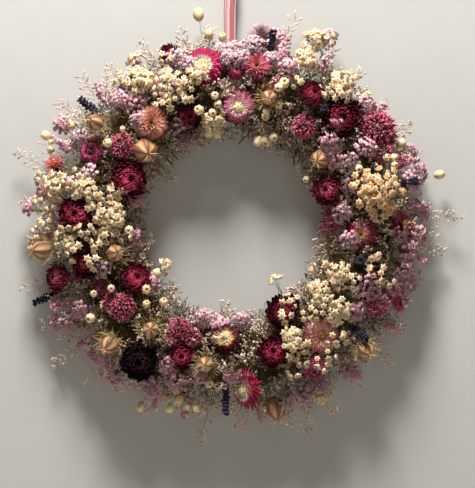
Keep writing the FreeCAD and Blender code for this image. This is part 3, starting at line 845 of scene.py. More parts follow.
# Clock angle, offset, radius and number of florets of the smaller clusters round the big umbels.
cream_clusters = [
    (324, 44, 9, 9), (329, 31, 8, 7), (329, 3, 5, 3), (330, 55, 8, 8), (331, 12, 6, 5), (334, 1, 6, 5),
    (336, 22, 8, 8), (338, 40, 7, 6), (340, -3, 5, 4), (343, 10, 8, 8), (347, 16, 7, 6), (349, 21, 7, 6),
    (239, -57, 7, 7), (256, 4, 6, 5), (261, 22, 8, 7), (262, -2, 6, 5), (264, -29, 7, 4), (264, 61, 8, 7),
    (266, -14, 7, 6), (267, 58, 8, 7), (268, 8, 8, 8), (268, -4, 6, 5), (271, 48, 9, 8), (275, -14, 8, 8),
    (276, 44, 7, 6), (277, 55, 7, 6), (278, -2, 8, 8), (279, -20, 7, 6), (282, 5, 8, 8), (283, -10, 8, 8),
    (284, 58, 8, 7), (285, 30, 7, 6), (286, 44, 6, 5), (287, -18, 6, 5), (289, 20, 7, 6), (290, -29, 4, 2),
    (270, 27, 5, 2), (23, 45, 8, 8), (24, 56, 7, 6), (24, 68, 9, 10), (27, 73, 7, 6), (37, 29, 8, 8),
    (39, 53, 6, 5), (40, 34, 7, 6), (46, 47, 6, 4), (24, 16, 4, 2), (102, 6, 5, 3), (108, 13, 8, 7),
    (110, 27, 6, 4), (114, -5, 6, 5), (114, -21, 9, 9), (114, -43, 5, 3), (118, -19, 7, 6),
    (126, -29, 8, 8), (126, -10, 7, 6), (130, -22, 8, 8), (130, -2, 8, 8), (135, -18, 7, 6),
    (137, 14, 9, 9), (141, -41, 7, 5), (142, -68, 5, 8), (143, 24, 6, 5), (145, -45, 6, 5), (147, 24, 6, 5),
    (149, -34, 6, 5), (149, -1, 7, 6), (151, -16, 7, 6), (153, -6, 8, 9), (153, 13, 5, 4), (155, 3, 5, 3),
    (152, 50, 8, 9), (157, 21, 5, 4), (151, 71, 4, 3), (141, -21, 5, 4), (346, 17, 6, 6), (348, 12, 5, 4),
    (187, -28, 4, 2),
]
roll, everlastings = Dice(41), Growth()
for head in umbels:
    radius = head.radius / MM
    big = radius > 17
    tan = 0.6 if big else 0.0
    middle = head.top - head.axis * head.radius * 0.3
    count, wide = int(8 + radius**2 / (5 if big else 10)), radius * (1.15 if big else 0.98)
    tuft_of(everlastings, roll, middle, head.axis, wide, count, 7.6, (tan, tan + 0.4), 0.9, 24, 0.5)
for clock, offset, radius, count in cream_clusters:
    look = swayed(roll, outlook(clock, offset), 0.15)
    middle = spot(clock, offset, face_at(offset) + 5 + roll(-2, 3))
    count = max(2, int(count * 0.8))
    tuft_of(everlastings, roll, middle, look, radius, count, 7.8, (0.0, 0.45), 0.9, 26, 0.5)
stars = everlastings.grow("everlastings", cream_star, cream_bract, spread=0.25, seed=8)
finish_piece("everlasting_umbels", [stars])

# %% [markdown]
# ## Everlasting buds
# Half-open buds of the same cream everlasting hang on longer stalks round the rims: egg-shaped, closed over a
# small opening at the tip, whose dark brown is painted shade. Larger ones deserve more sides than the
# florets, and their bracts overlap in soft ribs.

# %% Grow the buds
egg_profile = [
    (0, 0, 0), (0.22, 0.05, 0.1), (0.42, 0.3, 0.14), (0.5, 0.62, 0.16), (0.42, 0.95, 0.2), (0.24, 1.15, 0.3),
    (0.12, 1.1, 0), (0, 0.95, 0),
]
bud_egg = template(turned("bud_egg", egg_profile, 16, 8))
# Closed everlasting bud: waxy cream with a green-brown foot; the dark brown round its mouth is painted shade
# in the opening.
cream_bud = papery(
    "dried_everlasting_bud",
    "0:937C49 20:E6D197 50:F7E9C0 75:F7E1AC 88:C08F56 100:3E2916",
    "0:826445 20:D6AD84 50:F7D3AF 75:EBC095 88:AA7147 100:372311",
    streaks=0.05, sheen=0.2, roughness=0.42,
)
# Clock angle, offset, size and outward turn of the buds beside those of the CAD model.
loose_buds = [
    (16, -19, 8, 0), (19, 9, 10, 0), (18, -44, 9, -40), (24, -39, 9, 20), (57, -48, 8, 0), (65, 1, 8, 0),
    (66, 36, 8, 0), (69, 34, 7, 0), (119, -41, 9, -30), (189, 20, 9, 0), (191, 43, 8, 30), (194, 45, 8, 30),
    (199, 34, 7, 0), (221, -33, 9, 0), (227, -21, 8, 0), (234, -31, 10, -20), (243, -3, 8, 0),
    (244, 16, 8, 0), (268, -36, 10, 20), (293, 57, 7, 20), (295, 61, 6, 20), (300, 55, 9, 40),
    (304, 7, 10, 30), (311, 6, 6, 0), (345, -20, 10, 10), (347, -37, 9, -50), (350, -31, 9, 0),
    (350, -22, 9, 0), (351, -39, 9, -50), (352, -8, 9, 10), (354, -30, 8, 0), (354, -14, 9, 0),
    (353, 52, 9, 20), (357, 48, 9, 20), (24, 22, 7, 0),
]
roll, bud_growth = Dice(51), Growth()
for head in buds:
    foot = head.top - head.axis * head.radius * 2.2
    bud_growth.floret(foot, head.axis, head.radius * 2 / MM, roll(0, 0.6))
    bud_growth.stalk(arched(head.root, head.top - head.axis * head.radius * 2, head.axis, 4), 1.0, 0.6)
for clock, offset, across, extra in loose_buds:
    look = swayed(roll, outlook(clock, offset, extra), 0.2)
    foot = spot(clock, offset, face_at(offset) - (4 if offset > 50 else 0))
    bud_growth.floret(foot, look, across, roll(0, 0.8))
    bud_growth.stalk(arched(foot - look * 20 * MM, foot + look * MM, look, 3), 0.8, 0.6)
finish_piece("everlasting_buds", [bud_growth.grow("buds", bud_egg, cream_bud, sides=5, spread=0.1, seed=9)])

# %% [markdown]
# ## Tufted heads
# The fuzzy magenta balls are globe amaranths: hundreds of narrow spikelets that point away from the middle of
# the head. Spikelets on a sphere at the golden angle never line up in rows, which is how the real head packs.

# %% Grow the tufted heads
spikelet = template(blade("spikelet", 0.3, 0.35, 0.35, 0.12, (0.6, 1.0, 0.8), (0, 0.5, 0.8)))
# Dried amaranth bract: magenta-purple, glossy, with bleached tips.
amaranth_bract = papery(
    "dried_amaranth_bract",
    "0:3C0A19 50:931C3C 80:C9446B 100:F07F9D",
    "0:52182C 50:BE5475 80:F596AF 100:F7C8D1",
    streaks=0.15, streak_count=3.0,
)
roll, amaranths = Dice(61), Growth()


def tufted(middle, axis, radius, count, tones):
    """Spikelets over the front of a ball, in golden-angle order."""
    turn_to = axis.to_track_quat("Z", "Y")
    for k in range(count):
        height = 1 - 1.6 * (k + 0.5) / count
        turn, out = k * GOLDEN_ANGLE, sqrt(1 - height * height)
        way = turn_to @ Vector((out * cos(turn), out * sin(turn), height))
        start = middle + way * radius * roll(0.42, 0.68)
        amaranths.floret(start, swayed(roll, way, 0.3), 0.42 * radius / MM, roll(*tones))


for head in tufts:
    wide = head.radius * (1.25 if head.radius > 14 * MM else 1.12)
    middle = head.top - head.axis * wide * 0.9
    tufted(middle, head.axis, wide, int(210 + wide / MM * 14), (0.0, 0.8))
    amaranths.stalk([head.root, middle], 2.0, 0.3)
# Clock angle, offset, radius and tones of the smaller tufts: magenta ones low, dusty ones high.
small_tufts = [
    (60, 42, 12, 0.1, 0.8), (64, 30, 12, 0.1, 0.9), (69, 42, 8, 0.3, 1.0), (52, 26, 10, 0.3, 0.9),
    (80, -28, 10, 0, 0.6), (90, -40, 9, 0, 0.6), (113, 33, 9, 0.1, 0.8), (148, 24, 10, 0, 0.6),
    (200, -20, 11, 0, 0.7), (207, -9, 9, 0, 0.7), (238, 4, 11, 0, 0.5), (300, 22, 10, 0.3, 1.0),
    (245, 8, 9, 0, 0.5), (18, 10, 9, 0.4, 1.0), (253, 22, 9, 0, 0.4),
]
for clock, offset, across, *tones in small_tufts:
    look = swayed(roll, outlook(clock, offset), 0.15)
    middle = spot(clock, offset, face_at(offset) - 7)
    tufted(middle, look, across * MM, 200, tones)
    amaranths.stalk([middle - look * 16 * MM, middle], 1.6, 0.3)
finish_piece("tufted_heads", [amaranths.grow("amaranths", spikelet, amaranth_bract, sides=5, seed=10)])

# %% [markdown]
# ## Love-in-a-mist pods
# Each pod is a thin inflated husk of five cells, straw-coloured with a dark red stripe along each cell, with
# five dried styles on top and a ruff of thread-fine bracts below. A husk is one of a kind, so it is a turned
# shape with many sides; its threads and styles are stalks of the floret tree.

# %% Grow the pods
husk_profile = [
    (0, 0, 0), (0.2, 0.02, 0.1), (0.62, 0.22, 0.16), (0.9, 0.62, 0.17), (1.0, 1.05, 0.17), (0.92, 1.45, 0.18),
    (0.66, 1.8, 0.24), (0.36, 2.02, 0.35), (0.16, 2.1, 0.3), (0, 2.05, 0),
]
pod_husk = template(turned("pod_husk", husk_profile, 30, 5))


def husk(name):
    """Thin straw husk, with a stripe down each of its five cells and green left at its foot."""
    material, tree = new_material(name)
    across, along, _ = petal_map(tree)
    noise = mottle(tree, 160.0, 3.0)
    within = maths(tree, "FRACT", maths(tree, "MULTIPLY", across, 5.0))
    ridge = maths(tree, "ABSOLUTE", maths(tree, "SUBTRACT", within, 0.5))
    skin = ramp(tree, along, "0:7D7443 35:C1A56D 70:DAB582 100:895145")
    uneven = maths(tree, "MULTIPLY_ADD", noise, 0.22, ridge)
    stripe = ramp(tree, uneven, "0:FFFFFF 28:F2DCD0 40:843C40 100:6C2C34")
    both = add(tree, "ShaderNodeMix", {0: 0.85, 6: skin, 7: stripe}, data_type="RGBA", blend_type="MULTIPLY")
    show(tree, both.outputs[2], 0.5, noise, 0.4, 0.4, Sheen_Weight=0.2)
    return material


# Seed husk: dry and parchment-thin, with a soft sheen and wine-red stripes.
dried_husk = husk("dried_seed_husk")
roll = Dice(71)
husks, threads = Growth(), Growth()
STYLES, STYLE_TURN, THREADS = 5, 1.2566, 34
for head in pods:
    axis, radius = head.axis, head.radius * 1.55
    foot = head.top - axis * (radius * 2.3)
    husks.floret(foot, axis, radius / MM, 0.5)
    for k in range(STYLES):
        way = around(axis, k * STYLE_TURN)
        crown = foot + axis * (radius * 2.05) + way * radius * 0.1
        threads.stalk(arched(crown, crown + (axis * 0.55 + way * 0.6) * radius, axis, 3), 0.9, 0.8)
    for k in range(THREADS):
        way = around(axis, k * GOLDEN_ANGLE)
        reach = radius * roll(0.9, 1.9)
        middle = foot + way * radius * 1.15 + axis * radius * roll(0.2, 0.8)
        end = foot + way * radius * roll(1.1, 2.2) + axis * reach
        threads.stalk([foot, middle, end], 0.65, roll(0.6, 1.1))
        threads.stalk([middle, middle + swayed(roll, way, 0.4) * 6 * MM], 0.35, 0.7)
    threads.stalk([head.root, foot], 1.6, 0.5)
pod_meshes = [
    husks.grow("husks", pod_husk, dried_husk, spread=0.03, seed=11),
    threads.grow("threads", leaf_blade, dried_leaf, sides=4, seed=11),
]
finish_piece("seed_pods", pod_meshes)

# %% [markdown]
# ## Lavender
# A lavender spike is a stack of whorls, each a ring of small ribbed calyces, deep violet-blue, with gaps
# between the lower whorls.

# %% Grow the lavender
calyx_profile = [(0, 0, 0), (0.24, 0.3, 0.15), (0.26, 0.75, 0.2), (0, 1.0, 0)]
lavender_calyx = template(turned("lavender_calyx", calyx_profile, 8, 4))
# Dried lavender: blue-violet with a grey bloom, dull.
lavender_bloom = papery(
    "dried_lavender_calyx", "0:15111D 50:1A162A 100:2C2642", "0:1F1D2C 50:27233E 100:4A4464", roughness=0.8
)
roll, lavender = Dice(81), Growth()
WHORLS, CALYCES = 8, 7
for head in spikes:
    long = max((head.top - head.root).length * 0.75, 22 * MM)
    foot = head.top - head.axis * min(long, 30 * MM)
    length = (head.top - foot).length
    for whorl in range(WHORLS):
        share = whorl / (WHORLS - 1)
        wide = 2.6 * (1 - 0.5 * share) * (0.75 if whorl == 0 else 1)
        for k in range(CALYCES):
            way = around(head.axis, 2 * pi * (k / CALYCES + whorl * 0.17))
            place = foot + head.axis * length * share * 0.92 + way * wide * 0.35 * MM
            look = swayed(roll, (head.axis + way * 0.9).normalized(), 0.12)
            lavender.floret(place, look, 5.2, roll(0, 1))
    lavender.stalk([head.root, foot, head.top - head.axis * 2 * MM], 1.2, 0.2)
finish_piece("lavender_spikes", [lavender.grow("lavender", lavender_calyx, lavender_bloom, sides=5, seed=12)])

# %% [markdown]
# ## A tree for strawflowers
# A strawflower is one spiral: up to two hundred stiff bracts at the golden angle, the outer ones long and
# leaning out, the inner ones short and upright. That rule is the tree. It counts along the spiral, mixes each
# size between its outer and inner value, leans each bract by its own angle, and keeps how far every corner
# ends up from the axis, for the colour. Open and half-closed heads are the same tree with other angles.

# %% Build the tree of bracts
MEASURES = ("Foot", "Rise", "Lean", "Length")
ends = [end + measure for measure in MEASURES for end in ("Outer ", "Inner ")]
tree, given = new_tree(
    "spiral_of_bracts", Object=["Bract"], Material=["Material"], Int=["Count", "Seed"],
    Float=ends + ["Head Radius", "Unevenness", "Swirl"],
)
bract_tree, index, golden_turn = tree, put(tree, "GeometryNodeInputIndex"), 2.399963


def store(mesh, name, value):
    values = {0: mesh, "Name": name, "Value": value}
    return put(tree, "GeometryNodeStoreNamedAttribute", values, data_type="FLOAT", domain="POINT")


share = maths(tree, "DIVIDE", index, given["Count"])
pairs = ({0: share, 2: given["Outer " + measure], 3: given["Inner " + measure]} for measure in MEASURES)
foot, rise, lean, length = (put(tree, "ShaderNodeMix", pair, data_type="FLOAT") for pair in pairs)
turn = maths(tree, "MULTIPLY", index, golden_turn)
east, north = (maths(tree, "MULTIPLY", maths(tree, way, turn), foot) for way in ("COSINE", "SINE"))
place = put(tree, "ShaderNodeCombineXYZ", {0: east, 1: north, 2: rise})
points = put(tree, "GeometryNodeMeshLine", {"Count": given["Count"]})
points = put(tree, "GeometryNodeSetPosition", {0: points, "Position": place})
less = maths(tree, "SUBTRACT", 0.0, given["Unevenness"])
shake = random_between(tree, less, given["Unevenness"], given["Seed"])
points = store(points, "tone", random_between(tree, 0.0, 1.0, given["Seed"]))
leaned = maths(tree, "ADD", lean, shake)
bracts = set_out(
    tree,
    points,
    given["Bract"],
    Rotation=put(tree, "ShaderNodeCombineXYZ", {0: given["Swirl"], 1: leaned, 2: turn}),
    Scale=maths(tree, "MULTIPLY", length, maths(tree, "MULTIPLY_ADD", shake, 0.7, 1.0)),
)
flat = {0: put(tree, "GeometryNodeInputPosition"), 1: (1, 1, 0)}
flat = put(tree, "ShaderNodeVectorMath", flat, operation="MULTIPLY")
away = add(tree, "ShaderNodeVectorMath", {0: flat}, operation="LENGTH").outputs["Value"]
bracts = store(bracts, "reach", maths(tree, "DIVIDE", away, given["Head Radius"]))
add(tree, "NodeGroupOutput", {0: with_material(tree, bracts, given["Material"])})
print("spiral_of_bracts has", len(tree.nodes), "nodes")

# %% [markdown]
# ## Strawflower colours
# Each colour is the same recipe with other stops, from the heart of the head out to its rim: first those of
# its deep bracts, then of its pale ones. A dried strawflower keeps its colour well: crimson and burgundy go
# deeper, pinks stay clear, and the heart stays cream or gold.

# %% Mix the strawflower colours
strawflower_colours = {
    "crimson": ("0:9D163C 45:981138 80:780B28 100:51061F", "0:F787A8 45:F46690 80:B82D58 100:79112F"),
    "deep_crimson": ("0:720D26 50:780D28 85:5B0B21 100:3E0718", "0:D34A6D 50:C03458 85:8C1A37 100:580F24"),
    "burgundy": ("0:2C0A15 50:280710 100:19050C", "0:642C3E 50:421B28 100:240C15"),
    "burgundy_cream": (
        "0:DA7A85 10:F7E2B4 36:F7D69F 44:BF8B40 52:621228 75:390715 100:1D040A",
        "0:EB9CA7 10:F7E7C1 36:F7DFAC 44:D59F51 52:851F39 75:4F0E1F 100:280712",
    ),
    "rose": (
        "0:F7DFA6 26:F7E2C6 36:F7C8CC 60:BA5576 85:8C2D50 100:621736",
        "0:F7E3AF 26:F7E7D3 36:F7DCDF 60:F7B0C6 85:CA6D8E 100:8E375B",
    ),
    "crimson_cream": (
        "0:DCC88A 36:EAD8AC 44:F6E0D8 50:D87090 56:B01C50 80:A01044 100:780A30",
        "0:EBD99C 36:F5E8C4 44:FAEAE6 50:E890AC 56:C83468 80:BC2258 100:900E3C",
    ),
    "magenta_gold": (
        "0:F7BE6D 18:F7BC7F 30:E68389 45:B52958 75:851538 100:550A22",
        "0:F7CE88 18:F7CC9B 30:F7AFAD 45:E15E89 75:B53262 100:7A173D",
    ),
    "magenta": ("0:7A1943 50:CA387C 100:AB3462", "0:E5609B 50:F782B9 100:D14D8D"),
    "salmon": (
        "0:A36B3A 14:C5894A 24:F7ADA1 60:F7A69D 84:E77585 100:5D182E",
        "0:BB8851 14:DA9C5E 24:FCD0C4 60:FFCAC0 84:F7AAB0 100:862D48",
    ),
    "salmon_ball": ("0:D48E72 50:DE8C78 100:CC7468", "0:F4C6A4 50:FFC8B2 100:F4AA9C"),
    "dusty_mauve": ("0:84636D 50:A17E84 100:BE999F", "0:C5A6AA 50:E4C2C7 100:F7DCDC"),
    "salmon_star": ("0:EAA173 40:DF736F 80:C8405A 100:AE2E4F", "0:F7BD8F 40:F19689 80:DF6271 100:C84660"),
    "rose_star": ("0:EEB18E 30:D26473 70:A83659 100:7C1C3F", "0:F7D1A8 30:EE979F 70:D25E81 100:A83A64"),
    "rose_crimson": ("0:C64D70 30:B33A64 60:8A173A 100:560923", "0:F7B2BF 30:F395A9 60:C64D6F 100:8A1C40"),
}
strawflower_materials = {
    name: papery("dried_strawflower_" + name, *stops, share="reach", streaks=0.09, sheen=0.05, rarity=1.7)
    for name, stops in strawflower_colours.items()
}
# Strawflower disc: a cushion of dry florets, cream to tan, rough as a brush.
disc_colours = {
    "cream": ("0:D9B87D 60:F5DFA9 100:F7E9C0", "0:E3C48A 60:F7E4B5 100:FAF0D4"),
    "tan": ("0:603E1F 60:A06F3E 100:C49356", "0:714F2B 60:B3844D 100:D9AA6F"),
}
disc_materials = {
    name: papery("dried_strawflower_disc_" + name, *stops, sheen=0.1, roughness=0.7)
    for name, stops in disc_colours.items()
}
print(len(strawflower_materials), "strawflower colours")

# %% [markdown]
# ## Strawflower forms
# A few forms cover every head. Open ones lie nearly flat round a disc. A dome is half closed: its bracts rise
# from the rim and curl in over the middle. In a brush, narrow bracts stand out all round. All lengths are
# shares of the head's radius, and leans are in degrees from its axis.

# %% Describe the forms
curled_shares, curled_ends = (0.6, 0.8, 0.95, 1.0, 0.9, 0.6), (0, 0.2, 0.4, 0.6, 0.78, 0.92)
bract_shapes = {
    "ray": template(blade("ray_bract", 0.2, 0.25, 0.35, 0.03, (0.55, 0.85, 1.0, 0.75))),
    "curled": template(blade("curled_bract", 0.17, -1.9, 0.3, 0.03, curled_shares, curled_ends)),
    "needle": template(blade("needle_bract", 0.13, 0.1, 0.35, 0.035, (0.6, 0.9, 0.85, 0.55))),
    "broad": template(blade("broad_bract", 0.3, 0.35, 0.4, 0.03, (0.6, 0.9, 1.0, 0.8))),
}
# Bract, count, radius and height of the disc, then foot, rise, lean and length of the outer and inner bracts.
forms = {
    "open": ("ray", 150, 0.25, 0.44, (0.2, 0.24), (0.0, 0.34), (82, 50), (0.84, 0.34)),
    "full": ("ray", 150, 0.0, 0.0, (0.2, 0.03), (0.0, 0.34), (82, 22), (0.84, 0.26)),
    "narrow": ("ray", 110, 0.16, 0.4, (0.14, 0.16), (0.0, 0.3), (82, 52), (0.9, 0.5)),
    "wide": ("broad", 120, 0.34, 0.38, (0.2, 0.34), (0.0, 0.34), (80, 46), (0.84, 0.26)),
    "dome": ("curled", 200, 0.1, 0.7, (0.36, 0.12), (0.0, 0.4), (98, 58), (1.5, 0.85)),
    "brush": ("needle", 210, 0.0, 0.0, (0.12, 0.04), (0.25, 0.35), (100, 4), (0.9, 0.72)),
    "star": ("needle", 70, 0.0, 0.0, (0.12, 0.1), (0.0, 0.2), (78, 14), (1.0, 0.75)),
}
disc_bump = template(turned("disc_bump", [(0, 0, 0), (0.4, 0.2, 0), (0.34, 0.8, 0), (0, 1.0, 0)], 5))
calyx_scale = template(blade("calyx_scale", 0.5, -0.9, 0.4, 0.05, (0.7, 1.0, 0.9, 0.6)))
print(len(forms), "forms")

# %% [markdown]
# ## The twenty-nine strawflowers
# The table gives each head its form, its colour, how much wider it is than its solid, and how far it looks
# aside from its natural outlook: to the right and up, as tangents. Every head gets its spiral of bracts, a
# disc of tiny florets where it is open, a cup of scales behind and a stem.

# %% Grow the strawflowers
looks = [
    ("dome", "rose_crimson", 0.97, 0.25, 0.35, None),
    ("open", "rose", 1.15, 0.0, 0.0, "cream"),
    ("star", "rose_star", 1.6, -0.1, 0.0, None),
    ("brush", "dusty_mauve", 1.5, 0.0, 0.2, None),
    ("dome", "deep_crimson", 0.97, 0.5, 0.5, None),
    ("dome", "deep_crimson", 1.09, 0.0, -0.1, None),
    ("dome", "rose_crimson", 1.01, 0.0, 0.2, None),
    ("narrow", "deep_crimson", 1.45, 1.25, 0.55, "tan"),
    ("full", "magenta_gold", 1.15, 0.1, 0.05, None),
    ("dome", "deep_crimson", 0.92, 0.3, 0.0, None),
    ("wide", "magenta", 1.15, 0.3, -0.1, None),
    ("narrow", "salmon", 1.2, 0.1, 0.1, "tan"),
    ("dome", "deep_crimson", 0.99, 0.0, -0.1, None),
    ("dome", "crimson", 1.01, 0.0, 0.1, None),
    ("open", "crimson_cream", 1.42, -1.3, -0.05, "cream"),
    ("wide", "burgundy_cream", 1.08, 0.0, 0.05, "cream"),
    ("dome", "crimson", 0.91, 0.0, 0.1, None),
    ("dome", "burgundy", 0.94, 0.0, 0.1, None),
    ("dome", "crimson", 0.92, 0.2, 0.3, None),
    ("dome", "deep_crimson", 0.92, 0.0, 0.2, None),
    ("dome", "rose_crimson", 0.92, -0.6, 0.2, None),
    ("dome", "crimson", 0.97, 0.0, 0.1, None),
    ("star", "salmon_star", 1.25, -0.2, 0.6, None),
    ("dome", "crimson", 0.96, 0.2, 0.2, None),
    ("wide", "magenta", 1.3, 0.0, 0.0, None),
    ("brush", "salmon_ball", 1.08, 0.0, 0.0, None),
    ("dome", "deep_crimson", 1.13, 0.0, 0.0, None),
    ("dome", "deep_crimson", 0.92, -0.3, 0.3, None),
    ("wide", "crimson_cream", 1.14, -0.2, 0.0, "cream"),
]
DISC_FLORETS, SCALES = 70, 16


def one_point():
    """A mesh of one point, for a tree that makes its own points."""
    mesh = bpy.data.meshes.new("bed")
    mesh.from_pydata([(0, 0, 0)], [], [])
    return mesh


def strawflower(number, form, colour, wider, aside, above, disc_colour):
    node = f"strawflower_{number:02d}"
    head = Head(solids_of(node)[0], by_stem=False)
    radius, axis = head.radius * wider, (head.axis + Vector((aside, 0, above))).normalized()
    shape, count, disc, disc_height, feet, rises, leans, lengths = forms[form]
    pairs = zip(("foot", "rise", "lean", "length"), (feet, rises, leans, lengths))
    sizes = {
        f"{end}_{label}": radians(value) if label == "lean" else value * radius
        for label, pair in pairs for end, value in zip(("outer", "inner"), pair)
    }
    spiral = grown(
        bract_tree, one_point(), bract=bract_shapes[shape], material=strawflower_materials[colour],
        count=count, head_radius=radius, unevenness=0.1, swirl=0.25 if form == "dome" else 0.0, seed=number,
        **sizes,
    )
    foot = head.top - head.axis * head.radius * (0.7 if disc > 0.2 or form == "star" else 1.2)
    spiral.transform(Matrix.Translation(foot) @ axis.to_track_quat("Z", "Y").to_matrix().to_4x4())
    meshes, behind, roll = [spiral], Growth(), Dice(900 + number)
    if disc_colour:
        florets = Growth()
        for k in range(DISC_FLORETS):
            out = sqrt((k + 0.5) / DISC_FLORETS)
            flat = around(axis, k * GOLDEN_ANGLE) * out
            height = disc_height * (1 - 0.35 * out**2) * radius - 0.5 * MM
            place = foot + flat * disc * radius + axis * height
            florets.floret(place, swayed(roll, axis + flat * 0.5, 0.1), 2.4, roll(0, 1))
        meshes.append(florets.grow("disc", disc_bump, disc_materials[disc_colour], seed=number))
    for k in range(SCALES):
        flat = around(axis, k * GOLDEN_ANGLE)
        start = foot - axis * radius * 0.12 + flat * radius * 0.12
        behind.floret(start, (axis * 0.3 + flat).normalized(), radius * 0.6 / MM, roll(0, 0.6))
    behind.stalk(arched(head.root, foot, axis, 4), 2.0, 0.6)
    meshes.append(behind.grow("calyx", calyx_scale, dried_leaf, sides=6, seed=number))
    finish_piece(node, meshes)


for number, look in enumerate(looks, 1):
    strawflower(number, *look)

# %% [markdown]
# ## The ribbon
# A ten-millimetre satin ribbon passes under the outer wire and comes up again, front and back, to a knot. It
# is woven rose with pale edges. The loop is one strip swept along the line that its CAD solid follows, a
# little wavy because its edges were pulled unevenly.

# %% Weave and hang the ribbon
def satin(name):
    """Woven satin: fine warp lines along the ribbon, a darker rose strip at one edge, pale bands, a rose
    middle and a soft sheen.
    """
    material, tree = new_material(name)
    across = petal_map(tree)[0]
    # Across the ribbon: a darker rose strip at the first edge, pale bands, a rose middle and a pale far edge.
    stripes = (
        "0:B07478 7:C08488 13:E8B8BC 22:F0C4C8 26:D8A0A2 31:F2D0CC 37:F2D0CC 41:B4666C 62:BC6E74 86:B4666C "
        "91:E8C4BC 100:EED0C8"
    )
    ribs = maths(tree, "SINE", maths(tree, "MULTIPLY", across, 34 * 2 * pi))
    show(tree, ramp(tree, across, stripes), 0.38, ribs, 0.25, 0.1, Sheen_Weight=0.3, Anisotropic=0.5)
    return material


def strip(name, line, sides, widths, thickness):
    """A closed strip of cloth along a line, with its own side direction and width at each point."""
    corners, faces, petal_shares, steps, last = [], [], [], 6, len(line) - 1
    for k, point in enumerate(line):
        before, after = line[max(0, k - 1)], line[min(last, k + 1)]
        through = (after - before).normalized().cross(sides[k]).normalized() * thickness / 2
        for layer in (-1, 1):
            for s in range(steps + 1):
                aside = (s / steps - 0.5) * widths[k]
                corners.append(point + sides[k] * aside + through * layer)
    there, back = list(range(steps + 1)), list(reversed(range(steps + 1)))
    rim, row = there + [steps + 1 + s for s in back], 2 * (steps + 1)
    share = [s / steps for s in there + back]
    for k in range(last):
        low, high = k / last, (k + 1) / last
        for a in range(row):
            b = (a + 1) % row
            faces.append((row * k + rim[a], row * k + rim[b], row * (k + 1) + rim[b], row * (k + 1) + rim[a]))
            petal_shares.append([(share[a], low), (share[b], low), (share[b], high), (share[a], high)])
    for end in (0, last):
        for s in range(steps):
            first = row * end + s
            faces.append((first, first + 1, first + steps + 2, first + steps + 1))
            petal_shares.append([(s / steps, 0), ((s + 1) / steps, 0), ((s + 1) / steps, 0), (s / steps, 0)])
    mesh = as_mesh(name, corners, faces, petal_shares)
    mesh.materials.append(ribbon_satin)
    return mesh


def length_of(line):
    return sum((b - a).length for a, b in zip(line, line[1:]))


# Rayon satin ribbon, machine-woven in stripes, that shines along its weave.
ribbon_satin = satin("woven_satin_ribbon")
RIBBON_WIDTH, ASIDE, SPREAD, WALL_GAP, STRAND_STEPS = 0.0102, 0.0016, 0.0026, 0.0004, 24
knot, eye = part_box("ribbon_knot"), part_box("ribbon_eye")
knot_middle, knot_size = (knot[0] + knot[1]) / 2, (knot[1] - knot[0]) / 2
wire_top = outer_ring[1].z - wire_width / 2
clear = wire_width / 2 + 1.1 * MM
strand_height = wire_top - knot_middle.z + knot_size.z * 0.7


def strand(share, side, spread):
    """A point of the line, from 0 at the knot to 1 at the wire, on the front (-1) or the back (1) strand."""
    aside = -ASIDE * min(1, share * 4) - spread * (1 - share)
    height = knot_middle.z - knot_size.z * 0.7 + strand_height * share
    return Vector((aside, side * (clear * share + WALL_GAP), height))


def bend(turn):
    """A point of the line where it turns under the wire."""
    return Vector((-ASIDE, -clear * cos(turn), wire_top - clear * sin(turn)))


line = [strand(k / STRAND_STEPS, -1, 0) for k in range(STRAND_STEPS + 1)]
line += [bend(pi * k / 8) for k in range(1, 8)]
line += [strand(1 - k / STRAND_STEPS, 1, SPREAD) for k in range(STRAND_STEPS + 1)]
gather = [sin(pi * k / (len(line) - 1)) ** 4 for k in range(len(line))]
sides = [Vector((1, 0.12 * sin(k * 0.35) * (1 - g), 0)).normalized() for k, g in enumerate(gather)]
widths = [RIBBON_WIDTH * (0.72 if k in (0, len(line) - 1) else 1 - 0.2 * g) for k, g in enumerate(gather)]
ribbon_mesh = strip("ribbon_strands", line, sides, widths, 0.5 * MM)
ribbon_loop = finish_piece("ribbon_strands", [ribbon_mesh], "ribbon")
print("ribbon", round(length_of(line) / MM), "mm long")

# %% [markdown]
# ## The knot and the hanging eye
# Above the strands the ribbon is pulled into a tight round knot, and a small open loop stands over it for a
# nail. The knot is three crossing turns of the same ribbon. It is turned about the nail's direction, so that
# it can swing under the loop.

# %% Tie the knot and the eye
TURN_STEPS, EYE_STEPS, EYE_WIDTH = 24, 32, 0.01
turns = []
for k, (lean, wide) in enumerate(((0.0, 1.0), (0.9, 0.92), (-0.9, 0.92))):
    circle, circle_sides = [], []
    for step in range(TURN_STEPS + 1):
        angle = 2 * pi * step / TURN_STEPS
        way = Vector((cos(angle), 0, sin(angle)))
        drift = sin(angle + k * 2) * 0.25 * knot_size.y
        forth = Vector((0, drift + lean * 0.35 * knot_size.y, 0))
        circle.append(knot_middle + way * knot_size.x * 0.86 * wide + forth)
        circle_sides.append((Vector((0, 1, 0)) + way * 0.25 * lean).normalized())
    widths = [knot_size.y * (1.7 if k == 0 else 0.8)] * len(circle)
    turns.append(strip("knot_turn", circle, circle_sides, widths, 0.7 * MM))
core_profile = [
    (0, -0.9, 0), (0.5, -0.86, 0.1), (0.8, -0.5, 0.06), (0.86, 0, 0.05), (0.8, 0.5, 0.06), (0.5, 0.86, 0.1),
    (0, 0.9, 0),
]
core = turned("knot_core", core_profile, 24, 6)
scaled = Matrix.Diagonal((knot_size.x, knot_size.z, knot_size.y, 1))
core.transform(Matrix.Translation(knot_middle) @ Matrix.Rotation(pi / 2, 4, "X") @ scaled)
core.materials.append(ribbon_satin)
finish_piece("ribbon_knot", turns + [core], "ribbon")
eye_radius, eye_foot = (eye[1].x - eye[0].x) / 2, knot_middle.z + knot_size.z * 0.9
eye_line = [Vector((0.5 * MM, 0, eye_foot))]
